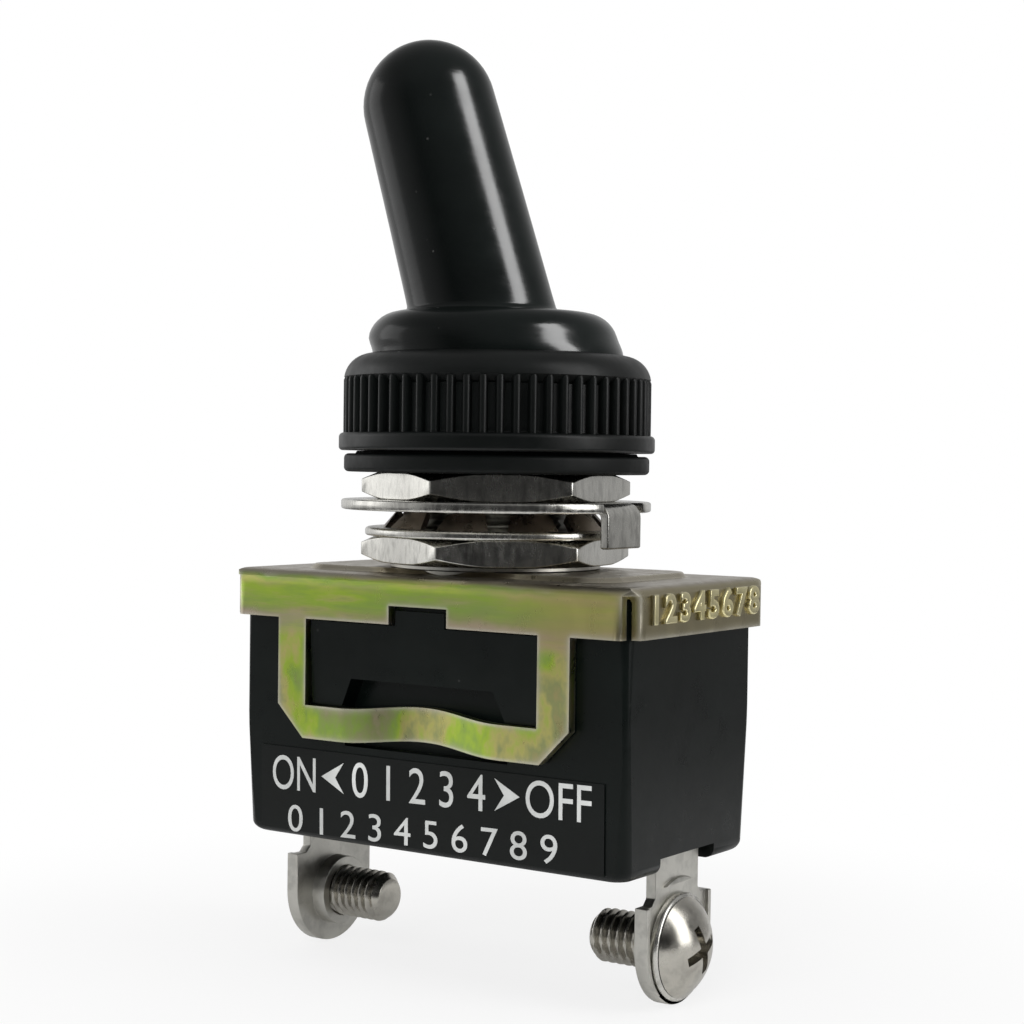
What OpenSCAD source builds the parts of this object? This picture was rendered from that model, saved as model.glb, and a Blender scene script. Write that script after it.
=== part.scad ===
// Panel toggle switch, single pole, on-off, with a sealing boot over the lever.
// Millimetres. +Z runs up the bushing, +X along the long side of the body.
// The origin is on the bushing axis, level with the top face of the bracket.

/* [Bracket] */
// Length of the pressed steel bracket over its end flanges
bracket_l = 32; // [30:0.1:40]
// Width of the bracket over its long flanges
bracket_w = 17.1; // [16.4:0.1:22]
// Thickness of the bracket sheet
sheet_t = 0.7; // [0.5:0.05:0.8]
// Depth of the flanges below the top face
flange_h = 3.15; // [2.6:0.05:3.6]
// Outer radius of the folds
bend_r = 1.0; // [0.8:0.05:1.4]
// Gap between a long flange's inner face and an end flange's edge
corner_gap = 0.25; // [0.1:0.05:0.4]
// Distance from a long flange's end to the bracket's end
flange_setback = 0.9; // [0.75:0.05:1.2]
// Radius of the bracket's corners, seen from above
corner_r = 1.5; // [1:0.1:2]
// Length of the raised pad around the bushing
pad_l = 24.6; // [20:0.2:26]
// Width of the raised pad
pad_w = 12; // [10:0.2:13]
// Height of the raised pad
pad_h = 0.3; // [0.2:0.05:0.5]
// Radius of the raised pad's corners
pad_r = 2.5; // [1:0.1:4]

/* [Strap] */
// Outer width of the strap loop that holds the housing
strap_w = 23.1; // [20:0.1:25]
// Width of each strap leg
strap_leg = 2.35; // [1.8:0.05:3]
// Lowest edge of the strap below the top face
strap_drop = 11.05; // [10:0.05:11.6]
// Height of the bar at the bottom of the loop
strap_bar = 2.2; // [1.6:0.05:2.6]
// Corner cut of the loop
strap_chamfer = 2.15; // [1:0.05:2.3]
// How far the middle of the bar is pressed into the housing
bar_dent = 0.9; // [0.5:0.05:1.1]
// How far the middle of the bar is bowed upwards
bar_bow = 0.45; // [0:0.05:0.6]
// Half width of the notch in the top of the window
notch_half = 2.3; // [1.8:0.05:3]
// Height of the notch above the window
notch_h = 1.2; // [0.8:0.05:1.5]

/* [Housing] */
// Height of the housing from the bracket's top face to its base
housing_h = 17.9; // [17:0.1:20]
// Inward slope of each side from top to base
draft = 0.25; // [0.1:0.05:0.4]
// Radius of the upright corners
housing_r = 0.9; // [0.7:0.1:1.6]
// Thickness of the long walls
housing_wall = 1.65; // [1.5:0.05:2]
// Thickness of the floor
floor_t = 2; // [1.6:0.1:2.5]
// Half length of the contact chamber
chamber_half = 13.2; // [13:0.1:13.4]
// Height of the panel that stands in the strap's window
boss_h = 0.45; // [0.2:0.05:0.6]
// Half width of the pocket behind the bar, at its top
pocket_top_half = 5.65; // [5:0.05:6]
// Half width of the pocket behind the bar, at its bottom
pocket_low_half = 6.5; // [6.1:0.05:7]
// Depth of the pocket below the housing's face
pocket_depth = 1.15; // [1.12:0.01:1.3]
// Width of the gap under each end wall, where a terminal comes out
foot_gap_w = 6.7; // [6:0.1:8]
// Height of that gap
foot_gap_h = 1.0; // [0.6:0.1:1.4]
// Thickness of the insulating plate over the chamber
insulator_t = 0.7; // [0.5:0.05:0.7]

/* [Bushing stack] */
// Major radius of the bushing's thread
bushing_r = 5.95; // [5.8:0.05:6]
// Top of the bushing above the bracket
bushing_top = 13.4; // [13.3:0.05:13.6]
// Radius of the bushing's collar
collar_r = 7.0; // [6.6:0.1:7.6]
// Thickness of the bushing's collar
collar_t = 0.35; // [0.2:0.05:0.5]
// Radius of the bore that holds the lever's ball
bore_r = 3.9; // [3.85:0.05:4]
// Radial clearance between the thread and what is screwed or slid on it
thread_fit = 0.05; // [0.02:0.01:0.1]
// Width of the keyway down the thread
keyway_w = 1.6; // [1.2:0.1:2]
// Depth of the keyway
keyway_d = 0.5; // [0.4:0.05:0.5]
// Radius over the corners of the hex nuts
nut_r = 9.0; // [8.6:0.05:9.4]
// Thickness of the lower nut
lower_nut_t = 1.75; // [1.4:0.05:2.2]
// Thickness of the upper nut
upper_nut_t = 1.8; // [1.4:0.05:2.2]
// Height of each nut's chamfer at its corners
nut_chamfer = 0.5; // [0.3:0.05:0.6]
// Turn of the lower nut about the bushing
lower_nut_turn = 40.5; // [0:0.5:60]
// Turn of the upper nut about the bushing
upper_nut_turn = 37.5; // [0:0.5:60]
// Outer radius of the toothed lock washer
lock_washer_r = 8.7; // [8.4:0.05:9]
// Sheet thickness of the lock washer
lock_washer_t = 0.55; // [0.4:0.05:0.6]
// Height of the lock washer over its raised teeth
lock_washer_h = 1.7; // [1.5:0.05:2]
// Number of teeth on the lock washer
tooth_count = 10; // [8:1:12]
// Outer radius of the tab washer
tab_washer_r = 10.3; // [9.8:0.05:10.6]
// Thickness of the tab washer
tab_washer_t = 0.65; // [0.5:0.05:0.8]
// Width of the tab washer's bent tab
tab_w = 4.0; // [3:0.1:5]
// Length of the bent tab below the washer's top face
tab_drop = 2.9; // [2.2:0.1:3.2]
// Radius of the rubber sealing disc
disc_r = 10.15; // [9.6:0.05:10.4]
// Thickness of the rubber sealing disc
disc_t = 1.2; // [0.8:0.05:1.4]

/* [Boot] */
// Radius of the boot nut over its bottom lip
ring_r = 10.5; // [10.3:0.05:11]
// Height of the boot nut
ring_h = 6.4; // [6.3:0.05:6.8]
// Height of the plain lip under the ribs
lip_h = 1.15; // [0.8:0.05:1.6]
// Number of grip ribs around the boot nut
rib_count = 60; // [48:2:66]
// Depth of the grooves between the ribs
rib_depth = 0.35; // [0.2:0.05:0.45]
// Gap between the sealing disc and the boot nut
ring_gap = 0.2; // [0.1:0.05:0.3]
// Radius of the boot's dome above the nut
dome_r = 8.35; // [8.3:0.01:8.36]
// Top of the dome above the bracket
dome_top = 17.2; // [16.8:0.1:18]
// Radius of the boot's sleeve at the dome
sleeve_base_r = 4.9; // [4.7:0.05:5.1]
// Radius of the boot's sleeve at its round end
sleeve_tip_r = 4.5; // [4.4:0.05:4.8]
// Rise of the sleeve's round end over the lever's, centre to centre
sleeve_rise = 0.7; // [0.6:0.05:1.3]
// Rubber thickness of the sleeve
sleeve_wall = 1.0; // [0.8:0.05:1.1]
// Lean of the sleeve with the lever at rest
sleeve_lean = 18.3; // [17.5:0.1:19]
// Height on the bushing axis from which the sleeve leans
sleeve_root = 13.4; // [13:0.1:13.8]

/* [Lever] */
// Height of the lever's pivot above the bracket
pivot_z = 10.5; // [10.3:0.1:10.6]
// Lean of the lever to each side of the bushing axis
lever_lean = 16.5; // [15:0.1:16.5]
// Radius of the lever's ball
ball_r = 3.6; // [3.4:0.05:3.6]
// Radius of the lever where it leaves the bushing
neck_r = 1.9; // [1.6:0.05:1.9]
// Radius of the lever's round end
bat_r = 2.9; // [2.4:0.05:2.9]
// Distance from the pivot to the centre of the round end
bat_reach = 21; // [19:0.1:21]
// Radius of the arm below the pivot
arm_r = 1.6; // [1.5:0.05:1.65]
// Distance from the pivot to the end of the arm
arm_reach = 17; // [16.6:0.05:17.2]
// Radius of the pin that the lever turns on
pin_r = 0.75; // [0.6:0.05:0.9]
// Radius of the plunger
plunger_r = 1.05; // [0.95:0.05:1.1]
// Distance from the pivot to the plunger's tip
plunger_reach = 19.4; // [19.2:0.05:19.5]
// Length of the plunger
plunger_l = 5.9; // [5:0.1:6.5]
// Travel of the plunger into the arm
plunger_travel = 1.0; // [0.5:0.1:1.2]
// Wire radius of the plunger's spring
spring_wire_r = 0.17; // [0.12:0.01:0.2]
// Number of turns of the spring
spring_turns = 6; // [4:1:8]
// Radial clearance of parts that slide or turn in each other
running_fit = 0.03; // [0.02:0.01:0.06]

/* [Contacts] */
// Tilt of the rocker to each side
rocker_tilt = 9; // [8:0.1:9.5]
// Height of the rocker's fulcrum above the housing's base
fulcrum_h = 7.3; // [7.2:0.05:7.4]
// Half width of the rocker blade
rocker_half_w = 2.3; // [1.8:0.05:2.4]
// Thickness of the rocker blade
rocker_t = 0.8; // [0.6:0.05:0.8]
// Half length of the rocker's hollow
hollow_half = 6.3; // [6:0.1:6.4]
// Half length of the rocker
rocker_half_l = 12.6; // [12.4:0.1:12.7]
// Radius of the rocker's trunnion
trunnion_r = 0.8; // [0.7:0.05:0.9]
// Distance from the fulcrum to the contact
contact_reach = 11; // [10.6:0.1:11.2]
// Radius of the contact buttons
contact_r = 1.5; // [1.2:0.05:1.5]
// Gap between the plunger's tip and the rocker
plunger_gap = 0.1; // [0.08:0.01:0.2]

/* [Terminals] */
// Thickness of the terminal plates
terminal_t = 0.7; // [0.5:0.05:0.8]
// Outer face of each terminal from the bushing axis
terminal_x = 14.3; // [14.2:0.05:14.5]
// Width of the terminal's neck
neck_w = 5.3; // [4.8:0.1:5.6]
// Width of the terminal's plate
plate_w = 8.0; // [7.9:0.1:8.4]
// Height of the screw's axis below the bracket
screw_z = 23.0; // [22.8:0.05:23.4]
// Height of the centre of the plate's round end below the bracket
plate_round_z = 22.6; // [22.4:0.05:23]
// Top of the wide plate below the bracket
shoulder_z = 20.0; // [19.6:0.1:20.2]
// Height of the rim around the plate
rim_h = 0.25; // [0.2:0.05:0.5]
// Thickness of the rim around the plate
rim_t = 0.4; // [0.35:0.05:0.5]
// Radius of the terminal screw's thread
screw_r = 1.72; // [1.6:0.02:1.8]
// Inner end of the screw from the bushing axis
screw_tip_x = 8.6; // [8:0.1:10]
// Radius of the screw's head
head_r = 3.2; // [3:0.05:3.4]
// Height of the screw's head
head_h = 1.5; // [1.3:0.05:1.8]
// Radius of the washer under the head
washer_r = 3.4; // [3.3:0.05:3.45]
// Turn of the screws' cross recess
screw_turn = 20; // [0:1:90]
// Thickness of the washer under the head
washer_t = 0.55; // [0.4:0.05:0.8]

/* [Label] */
// Length of the label
label_l = 27.3; // [24:0.1:28]
// Height of the label
label_h = 5.55; // [5:0.05:5.7]
// Bottom of the label below the bracket
label_z = 17.45; // [17:0.05:17.5]
// Thickness of the label
label_t = 0.1; // [0.06:0.01:0.15]

/* [Hidden] */
$fn = 48;
eps = 0.01;

// housing
seat_clear = 0.03;
housing_half_l = bracket_l / 2 - sheet_t - seat_clear;
housing_half_w = bracket_w / 2 - sheet_t - seat_clear;
housing_top = -sheet_t;
edge_cut = bend_r - sheet_t + 0.05;
floor_z = floor_t - housing_h;
chamber_half_w = housing_half_w - housing_wall;
ledge = 0.75;
ledge_z = -sheet_t - pad_h - 0.2 - insulator_t;
insulator_half_l = chamber_half + ledge - 0.05;
insulator_half_w = chamber_half_w + ledge - 0.05;
window_half = strap_w / 2 - strap_leg;
window_low = strap_bar - strap_drop;
boss_clear = 0.2;
tab_half = notch_half - 0.35;
pocket_z = -6.9;

// bushing stack, from the bracket upwards
collar_z = pad_h;
lower_nut_z = collar_z + collar_t;
lock_washer_z = lower_nut_z + lower_nut_t;
tab_washer_z = lock_washer_z + lock_washer_h + 0.03;
upper_nut_z = tab_washer_z + tab_washer_t;
disc_z = upper_nut_z + upper_nut_t;
ring_z = disc_z + disc_t + ring_gap;
thread_hole = bushing_r + thread_fit;
bushing_hole_r = bushing_r + thread_fit;
nut_flat_r = nut_r * cos(30);
stake_r = chamber_half_w + ledge - 0.25;
stake_z = ledge_z + insulator_t;
arm_room = 0.35;
pin_fit = 0.01;
flare_z = 8;
tongue_w = keyway_w - 0.2;
rim_w = 1.2;
tooth_fit = 0.25;
tooth_room = 0.15;

// boot nut and boot
rib_base = ring_z + lip_h;
rib_r = ring_r - 0.25;
shoulder_h = rib_r - dome_r - 0.1;
rib_top = ring_z + ring_h - shoulder_h;
flange_r = dome_r + 0.45;
cavity_z = ring_z + 2.4;
throat_z = ring_z + ring_h - 1.5;
sleeve_l = (pivot_z + bat_reach * cos(lever_lean) + sleeve_rise - sleeve_root) / cos(sleeve_lean);

sleeve_start = 1.5;
bushing_room = 0.45;

// lever and plunger
tip_reach = plunger_reach - plunger_r;
spring_l = 4;
spring_room = 0.05;
arm_bore_r = plunger_r + running_fit;
arm_bore_top = plunger_reach - plunger_l - spring_l;
arm_swing = (pivot_z - stake_z) * tan(lever_lean) + arm_r / cos(lever_lean);
flare_r = arm_swing + 0.1;

// rocker: its hollow follows the plunger's tip as both turn
fulcrum_z = fulcrum_h - housing_h;
tip_x = tip_reach * sin(lever_lean);
tip_z = pivot_z - tip_reach * cos(lever_lean) - fulcrum_z;
path_x = tip_x * cos(rocker_tilt) - tip_z * sin(rocker_tilt);
path_z = tip_x * sin(rocker_tilt) + tip_z * cos(rocker_tilt);
path_low = pivot_z - tip_reach - fulcrum_z;
path_rise = path_z - path_low;
path_r = (path_x * path_x + path_rise * path_rise) / (2 * path_rise);
hollow_z = path_low + path_r;
hollow_r = path_r + plunger_r + plunger_gap;
wing_z = 0;
wing_start = 8.4;
dome_h = 0.25;
rivet_r = contact_r / 2;
rivet_proud = 0.2;
rivet_room = 0.3;
fixed_extra = 0.2;
contact_gap = 0.08;
stop_gap = 0.06;
button_h = 0.45;
button_low = wing_z - rocker_t / 2 - button_h - dome_h;
contact_x = contact_reach * cos(rocker_tilt) + button_low * sin(rocker_tilt);
contact_z = fulcrum_z + button_low * cos(rocker_tilt) - contact_reach * sin(rocker_tilt) - contact_gap;
shelf_z = contact_z - 0.6;
ear_gap = rocker_half_w + 0.35;
ear_t = terminal_t;
stop_z = fulcrum_z - rocker_t / 2 * cos(rocker_tilt) - rocker_half_l * sin(rocker_tilt) - stop_gap;

// A box that narrows towards its base, with cut top edges
module drafted_box(half_l, half_w, z_low, z_top, slope, cut) {
    big = 2 * max(half_l, half_w) + 2;
    intersection() {
        rotate([90, 0, 0])
            linear_extrude(big, center = true)
                drafted_side(half_l, z_low, z_top, slope, cut);
        rotate([90, 0, 90])
            linear_extrude(big, center = true)
                drafted_side(half_w, z_low, z_top, slope, cut);
    }
}

module drafted_side(half, z_low, z_top, slope, cut) {
    polygon([[-half + slope, z_low], [half - slope, z_low], [half, z_top - cut], [half - cut, z_top],
             [cut - half, z_top], [-half, z_top - cut]]);
}

// A rectangle with round corners, made of squares and circles
module round_rect(half_l, half_w, r) {
    square([2 * half_l - 2 * r, 2 * half_w], center = true);
    square([2 * half_l, 2 * half_w - 2 * r], center = true);
    for (x = [-1, 1], y = [-1, 1])
        translate([x * (half_l - r), y * (half_w - r)])
            circle(r);
}

// Both long sides, seen from the front; depth runs from y0 to y1 on the front
module on_long_sides(y0, y1) {
    for (side = [0, 180])
        rotate([0, 0, side])
            translate([0, -y0, 0])
                rotate([90, 0, 0])
                    linear_extrude(y1 - y0)
                        children();
}

// ---- housing ----

module housing_outline(grow) {
    intersection() {
        drafted_box(housing_half_l + grow, housing_half_w + grow, -housing_h, housing_top, draft, edge_cut);
        translate([0, 0, -housing_h - 1])
            linear_extrude(housing_h + 1)
                round_rect(housing_half_l + grow, housing_half_w + grow, housing_r + grow);
    }
}

module boss_face() {
    translate([-window_half + boss_clear, window_low + boss_clear / 2])
        square([2 * (window_half - boss_clear), -flange_h - boss_clear - window_low]);
    translate([-tab_half, -flange_h - boss_clear - eps])
        square([2 * tab_half, notch_h - 0.1]);
}

module pocket_face() {
    polygon([[-pocket_low_half, -strap_drop - 0.35], [pocket_low_half, -strap_drop - 0.35],
             [pocket_low_half, window_low + 0.1], [pocket_top_half, pocket_z],
             [-pocket_top_half, pocket_z], [-pocket_low_half, window_low + 0.1]]);
}

module housing() {
    color("#1d2021") {
        difference() {
            union() {
                housing_outline(0);
                on_long_sides(housing_half_w - 1, housing_half_w + boss_h)
                    boss_face();
            }
            on_long_sides(housing_half_w - pocket_depth, housing_half_w + boss_h + 1)
                pocket_face();
            housing_chamber();
            for (side = [0, 180])
                rotate([0, 0, side])
                    terminal_passage();
        }
        contact_post();
        rocker_stop();
    }
}

// Contact chamber, with a step for the insulating plate
module housing_chamber() {
    translate([-chamber_half, -chamber_half_w, floor_z])
        cube([2 * chamber_half, 2 * chamber_half_w, housing_h]);
    translate([-insulator_half_l - seat_clear, -insulator_half_w - seat_clear, ledge_z])
        cube([2 * (insulator_half_l + seat_clear), 2 * (insulator_half_w + seat_clear), housing_h]);
}

// Way down through the end wall and the floor for the terminal at +X
module terminal_passage() {
    slot_half = neck_w / 2 + running_fit;
    slot_out = terminal_x + running_fit;
    translate([chamber_half - 1, -slot_half, floor_z])
        cube([slot_out - chamber_half + 1, 2 * slot_half, ledge_z - floor_z + eps]);
    translate([terminal_x - terminal_t - running_fit, -slot_half, -housing_h - 1])
        cube([terminal_t + 2 * running_fit, 2 * slot_half, floor_t + 1 + eps]);
    translate([chamber_half, -foot_gap_w / 2, -housing_h - 1])
        cube([4, foot_gap_w, foot_gap_h + 1]);
}

// Post under the fixed contact's shelf, hollow for its rivet
module contact_post() {
    post_l = chamber_half - contact_x + contact_r + eps;
    difference() {
        translate([chamber_half + eps - post_l, -neck_w / 2, floor_z - eps])
            cube([post_l, neck_w, shelf_z - terminal_t - floor_z + eps]);
        translate([contact_x, 0, floor_z])
            cylinder(h = housing_h, r = rivet_r + rivet_room);
    }
}

// Rib across the chamber that stops the rocker's left end
module rocker_stop() {
    rib_t = 1.2;
    rib_low = floor_z + terminal_t + 0.1;
    translate([-chamber_half - eps, -chamber_half_w - eps, rib_low])
        cube([rib_t, 2 * chamber_half_w + 2 * eps, stop_z - rib_low]);
}

// ---- bracket ----

// U section of folded sheet: a flat top with two round folds
module fold_side(half, low, r) {
    translate([-half, low])
        square([2 * half, -r - low]);
    translate([r - half, -r - eps])
        square([2 * (half - r), r + eps]);
    for (x = [-1, 1])
        translate([x * (half - r), -r])
            circle(r);
}

module folded_box(half_l, half_w, low, r) {
    big = bracket_l + bracket_w;
    intersection() {
        rotate([90, 0, 0])
            linear_extrude(big, center = true)
                fold_side(half_l, low, r);
        rotate([90, 0, 90])
            linear_extrude(big, center = true)
                fold_side(half_w, low, r);
    }
}

// Smooth step from 1 in the middle of the bar to 0 at the edge of the pocket
function bar_wave(x) = let (reach = pocket_low_half - 0.1)
    abs(x) < reach ? (1 + cos(180 * x / reach)) / 2 : 0;

bar_steps = [for (i = [-12:12]) i / 12 * (pocket_low_half - 0.1)];

// Strap loop seen from the front
module strap_face() {
    outer = strap_w / 2;
    difference() {
        polygon(concat(
            [[outer, -flange_h + 1], [-outer, -flange_h + 1], [-outer, strap_chamfer - strap_drop],
             [strap_chamfer - outer, -strap_drop]],
            [for (x = bar_steps) [x, bar_bow * bar_wave(x) - strap_drop]],
            [[outer - strap_chamfer, -strap_drop], [outer, strap_chamfer - strap_drop]]));
        polygon(concat(
            [[window_half, -flange_h], [-window_half, -flange_h], [-window_half, window_low]],
            [for (x = bar_steps) [x, bar_bow * bar_wave(x) + window_low]],
            [[window_half, window_low]]));
    }
}

// Strap seen from above, with its bar pressed inwards; y runs inwards from the outer face
module strap_plan() {
    back = [for (i = [len(bar_steps) - 1:-1:0]) bar_steps[i]];
    polygon(concat(
        [[-strap_w / 2, 0]], [for (x = bar_steps) [x, bar_dent * bar_wave(x)]],
        [[strap_w / 2, 0], [strap_w / 2, sheet_t]],
        [for (x = back) [x, sheet_t + bar_dent * bar_wave(x)]],
        [[-strap_w / 2, sheet_t]]));
}

module strap_loop() {
    bar_top = window_low + bar_bow + 0.5;
    for (side = [0, 180])
        rotate([0, 0, side])
            translate([0, -bracket_w / 2, 0])
                intersection() {
                    rotate([90, 0, 0])
                        linear_extrude(2 * bracket_w, center = true)
                            strap_face();
                    union() {
                        translate([0, 0, -strap_drop - 1])
                            linear_extrude(strap_drop + 1 + bar_top)
                                strap_plan();
                        translate([-strap_w, 0, bar_top - eps])
                            cube([2 * strap_w, sheet_t, strap_drop]);
                    }
                }
}

module bracket() {
    half_l = bracket_l / 2;
    half_w = bracket_w / 2;
    color("#a9a45a")
    difference() {
        union() {
            intersection() {
                folded_box(half_l, half_w, -flange_h, bend_r);
                translate([0, 0, -flange_h - 1])
                    linear_extrude(flange_h + 2)
                        round_rect(half_l, half_w, corner_r);
            }
            strap_loop();
            pad(0);
        }
        translate([0, 0, -sheet_t])
            folded_box(half_l - sheet_t, half_w - sheet_t, -flange_h - 1, bend_r - sheet_t);
        pad(-sheet_t);
        cylinder(h = 20, r = bushing_hole_r, center = true);
        // notch in the top of each window
        on_long_sides(half_w - 1.5 * sheet_t, half_w + 1)
            translate([-notch_half, -flange_h - 1])
                square([2 * notch_half, notch_h + 1]);
        // open corners
        for (x = [-1, 1], y = [-1, 1])
            mirror([x < 0 ? 1 : 0, 0, 0])
                mirror([0, y < 0 ? 1 : 0, 0])
                    open_corner(half_l, half_w);
    }
}

// Raised pad with sloping sides and round corners, lowered by the given amount
module pad(drop) {
    low = -sheet_t / 2;
    translate([0, 0, drop]) {
        rotate([90, 0, 0])
            linear_extrude(pad_w - 2 * pad_r, center = true)
                drafted_side(pad_l / 2, low, pad_h, 0, pad_h);
        rotate([90, 0, 90])
            linear_extrude(pad_l - 2 * pad_r, center = true)
                drafted_side(pad_w / 2, low, pad_h, 0, pad_h);
        for (x = [-1, 1], y = [-1, 1])
            translate([x * (pad_l / 2 - pad_r), y * (pad_w / 2 - pad_r), low]) {
                cylinder(h = -low, r = pad_r);
                translate([0, 0, -low - eps])
                    cylinder(h = pad_h + eps, r1 = pad_r + eps, r2 = pad_r - pad_h);
            }
    }
}

module open_corner(half_l, half_w) {
    low = -flange_h - 1;
    top = -bend_r / 2;
    translate([half_l - flange_setback, half_w - sheet_t - eps, low])
        cube([2 * flange_setback, 2, top - low]);
    translate([half_l - sheet_t - corner_gap, half_w - sheet_t - corner_gap, low])
        cube([2, corner_gap, top - low]);
}

// ---- insulating plate and label ----

module insulator_plate() {
    slot_r = arm_r + arm_room;
    swing = (pivot_z - ledge_z) * tan(lever_lean) + arm_r / cos(lever_lean) + arm_room;
    color("#8a5a3a")
    difference() {
        translate([-insulator_half_l, -insulator_half_w, ledge_z])
            cube([2 * insulator_half_l, 2 * insulator_half_w, insulator_t]);
        translate([0, 0, ledge_z - 1])
            linear_extrude(insulator_t + 2)
                round_rect(swing, slot_r, slot_r - eps);
    }
}

module rating_label() {
    color("#151718")
    intersection() {
        difference() {
            housing_outline(label_t);
            housing_outline(0);
        }
        translate([-label_l / 2, -housing_half_w - 1, -label_z])
            cube([label_l, housing_half_w, label_h]);
    }
}

// ---- bushing, nuts and washers ----

module bushing() {
    lip_t = 0.5;
    lip_in = bore_r - 0.7;
    top_cut = 0.6;
    notch_turn = -33;
    notch_w = 1.5;
    notch_d = 0.9;
    color("#b9bab8")
    difference() {
        union() {
            rotate_extrude()
                polygon([[0, stake_z], [stake_r, stake_z], [stake_r, -sheet_t],
                         [bushing_r, -sheet_t], [bushing_r, bushing_top - top_cut],
                         [bushing_r - top_cut, bushing_top], [0, bushing_top]]);
            translate([0, 0, collar_z])
                cylinder(h = collar_t, r = collar_r);
        }
        // bore: a flare for the arm, a straight seat for the ball and a lip over it
        rotate_extrude()
            polygon([[0, stake_z - 1], [flare_r, stake_z - 1], [flare_r, stake_z],
                     [bore_r, flare_z], [bore_r, bushing_top - lip_t], [lip_in, bushing_top - lip_t],
                     [lip_in, bushing_top + 1], [0, bushing_top + 1]]);
        translate([0, 0, pivot_z])
            rotate([90, 0, 0])
                cylinder(h = 20, r = pin_r + pin_fit, center = true);
        // keyway, and the notch that sets the collar's turn
        translate([bushing_r - keyway_d, -keyway_w / 2, lower_nut_z])
            cube([2, keyway_w, bushing_top]);
        rotate([0, 0, notch_turn])
            translate([collar_r - notch_d, -notch_w / 2, collar_z])
                cube([2, notch_w, collar_t]);
    }
}

// Hex nut with both faces chamfered at the corners
module hex_nut(z, h, turn) {
    face_r = nut_flat_r + 0.05;
    slope = nut_chamfer / (nut_r - face_r);
    far_r = nut_r + 1;
    fall = slope * (far_r - face_r);
    color("#c3c4c2")
    translate([0, 0, z])
        difference() {
            intersection() {
                rotate([0, 0, turn])
                    cylinder(h = h, r = nut_r, $fn = 6);
                rotate_extrude()
                    polygon([[0, 0], [face_r, 0], [far_r, fall], [far_r, h - fall], [face_r, h], [0, h]]);
            }
            translate([0, 0, -1])
                cylinder(h = h + 2, r = thread_hole);
        }
}

module lower_nut() hex_nut(lower_nut_z, lower_nut_t, lower_nut_turn);

module upper_nut() hex_nut(upper_nut_z, upper_nut_t, upper_nut_turn);

// Flat rim with teeth bent up from its inner edge
module lock_washer() {
    rim_in = lock_washer_r - rim_w;
    tooth_in = thread_hole + tooth_fit;
    rise = lock_washer_h - lock_washer_t;
    // half width of the gap between two teeth
    gap_half = tooth_in / tooth_count + tooth_room;
    color("#c9cac8")
    translate([0, 0, lock_washer_z])
        difference() {
            rotate_extrude()
                polygon([[rim_in - 0.2, 0], [lock_washer_r, 0], [lock_washer_r, lock_washer_t],
                         [rim_in, lock_washer_t], [tooth_in + 0.25, lock_washer_h], [tooth_in, rise],
                         [tooth_in, rise - 0.05]]);
            for (i = [0:tooth_count - 1])
                rotate([0, 0, (i + 0.5) * 360 / tooth_count])
                    translate([tooth_in - 1, -gap_half, -1])
                        cube([rim_in - tooth_in + 1 - tooth_room, 2 * gap_half, 5]);
        }
}

// Flat washer with a tongue in the keyway and a tab bent down at its edge
module tab_washer() {
    relief = 0.35;
    fold_in = 0.3;
    tab_out = tab_washer_r - 0.2;
    seat_x = tab_out - 2 * tab_washer_t - 0.1;
    fold = tab_washer_t + fold_in;
    color("#d0d1cf")
    translate([0, 0, tab_washer_z]) {
        difference() {
            cylinder(h = tab_washer_t, r = tab_washer_r);
            translate([0, 0, -1])
                cylinder(h = 5, r = thread_hole);
            translate([seat_x, -tab_w / 2 - relief, -1])
                cube([5, tab_w + 2 * relief, 5]);
        }
        translate([bushing_r - keyway_d + 0.1, -tongue_w / 2, 0])
            cube([1, tongue_w, tab_washer_t]);
        translate([0, tab_w / 2, tab_washer_t])
            rotate([90, 0, 0])
                linear_extrude(tab_w)
                    difference() {
                        fold_side(tab_out, -tab_drop, fold);
                        translate([0, -tab_washer_t])
                            fold_side(tab_out - tab_washer_t, -tab_drop, fold - tab_washer_t);
                        translate([-2 * tab_out, -tab_drop - 1])
                            square([2 * tab_out + seat_x - 0.1, tab_drop + 2]);
                    }
    }
}

module sealing_disc() {
    color("#17191a")
    translate([0, 0, disc_z])
        difference() {
            cylinder(h = disc_t, r = disc_r);
            translate([0, 0, -1])
                cylinder(h = disc_t + 2, r = thread_hole);
        }
}

// ---- boot nut and boot ----

// Outline of the grip ribs, with a flat-bottomed groove after each rib
module rib_outline() {
    pitch = 360 / rib_count;
    top_r = rib_r - 0.05;
    low_r = rib_r - rib_depth;
    polygon([for (i = [0:rib_count - 1], corner = [[-0.28, top_r], [0.28, top_r], [0.36, low_r], [0.64, low_r]])
        let (a = (i + corner[0]) * pitch) corner[1] * [cos(a), sin(a)]]);
}

// Half of the boot nut's outer form, without its lip and ribs
module ring_profile() {
    core_r = rib_r - rib_depth - 0.1;
    translate([0, ring_z])
        square([core_r, rib_top - ring_z]);
    translate([0, rib_top - eps])
        square([rib_r - shoulder_h, shoulder_h + eps]);
    intersection() {
        translate([rib_r - shoulder_h, rib_top])
            circle(shoulder_h);
        translate([0, rib_top])
            square([ring_r, shoulder_h + 1]);
    }
}

module boot_nut() {
    color("#222425")
    difference() {
        union() {
            rotate_extrude()
                ring_profile();
            translate([0, 0, ring_z])
                cylinder(h = lip_h, r = ring_r);
            translate([0, 0, rib_base - eps])
                linear_extrude(rib_top - rib_base + eps)
                    rib_outline();
        }
        rotate_extrude()
            polygon([[0, ring_z - 1], [thread_hole, ring_z - 1], [thread_hole, cavity_z],
                     [flange_r + 0.1, cavity_z], [flange_r + 0.1, throat_z], [dome_r + 0.05, throat_z],
                     [dome_r + 0.05, 30], [0, 30]]);
    }
}

// Turns its children with the sleeve: z runs along the sleeve from its root
module along_sleeve() {
    translate([0, 0, sleeve_root])
        rotate([0, -sleeve_lean, 0])
            children();
}

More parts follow.
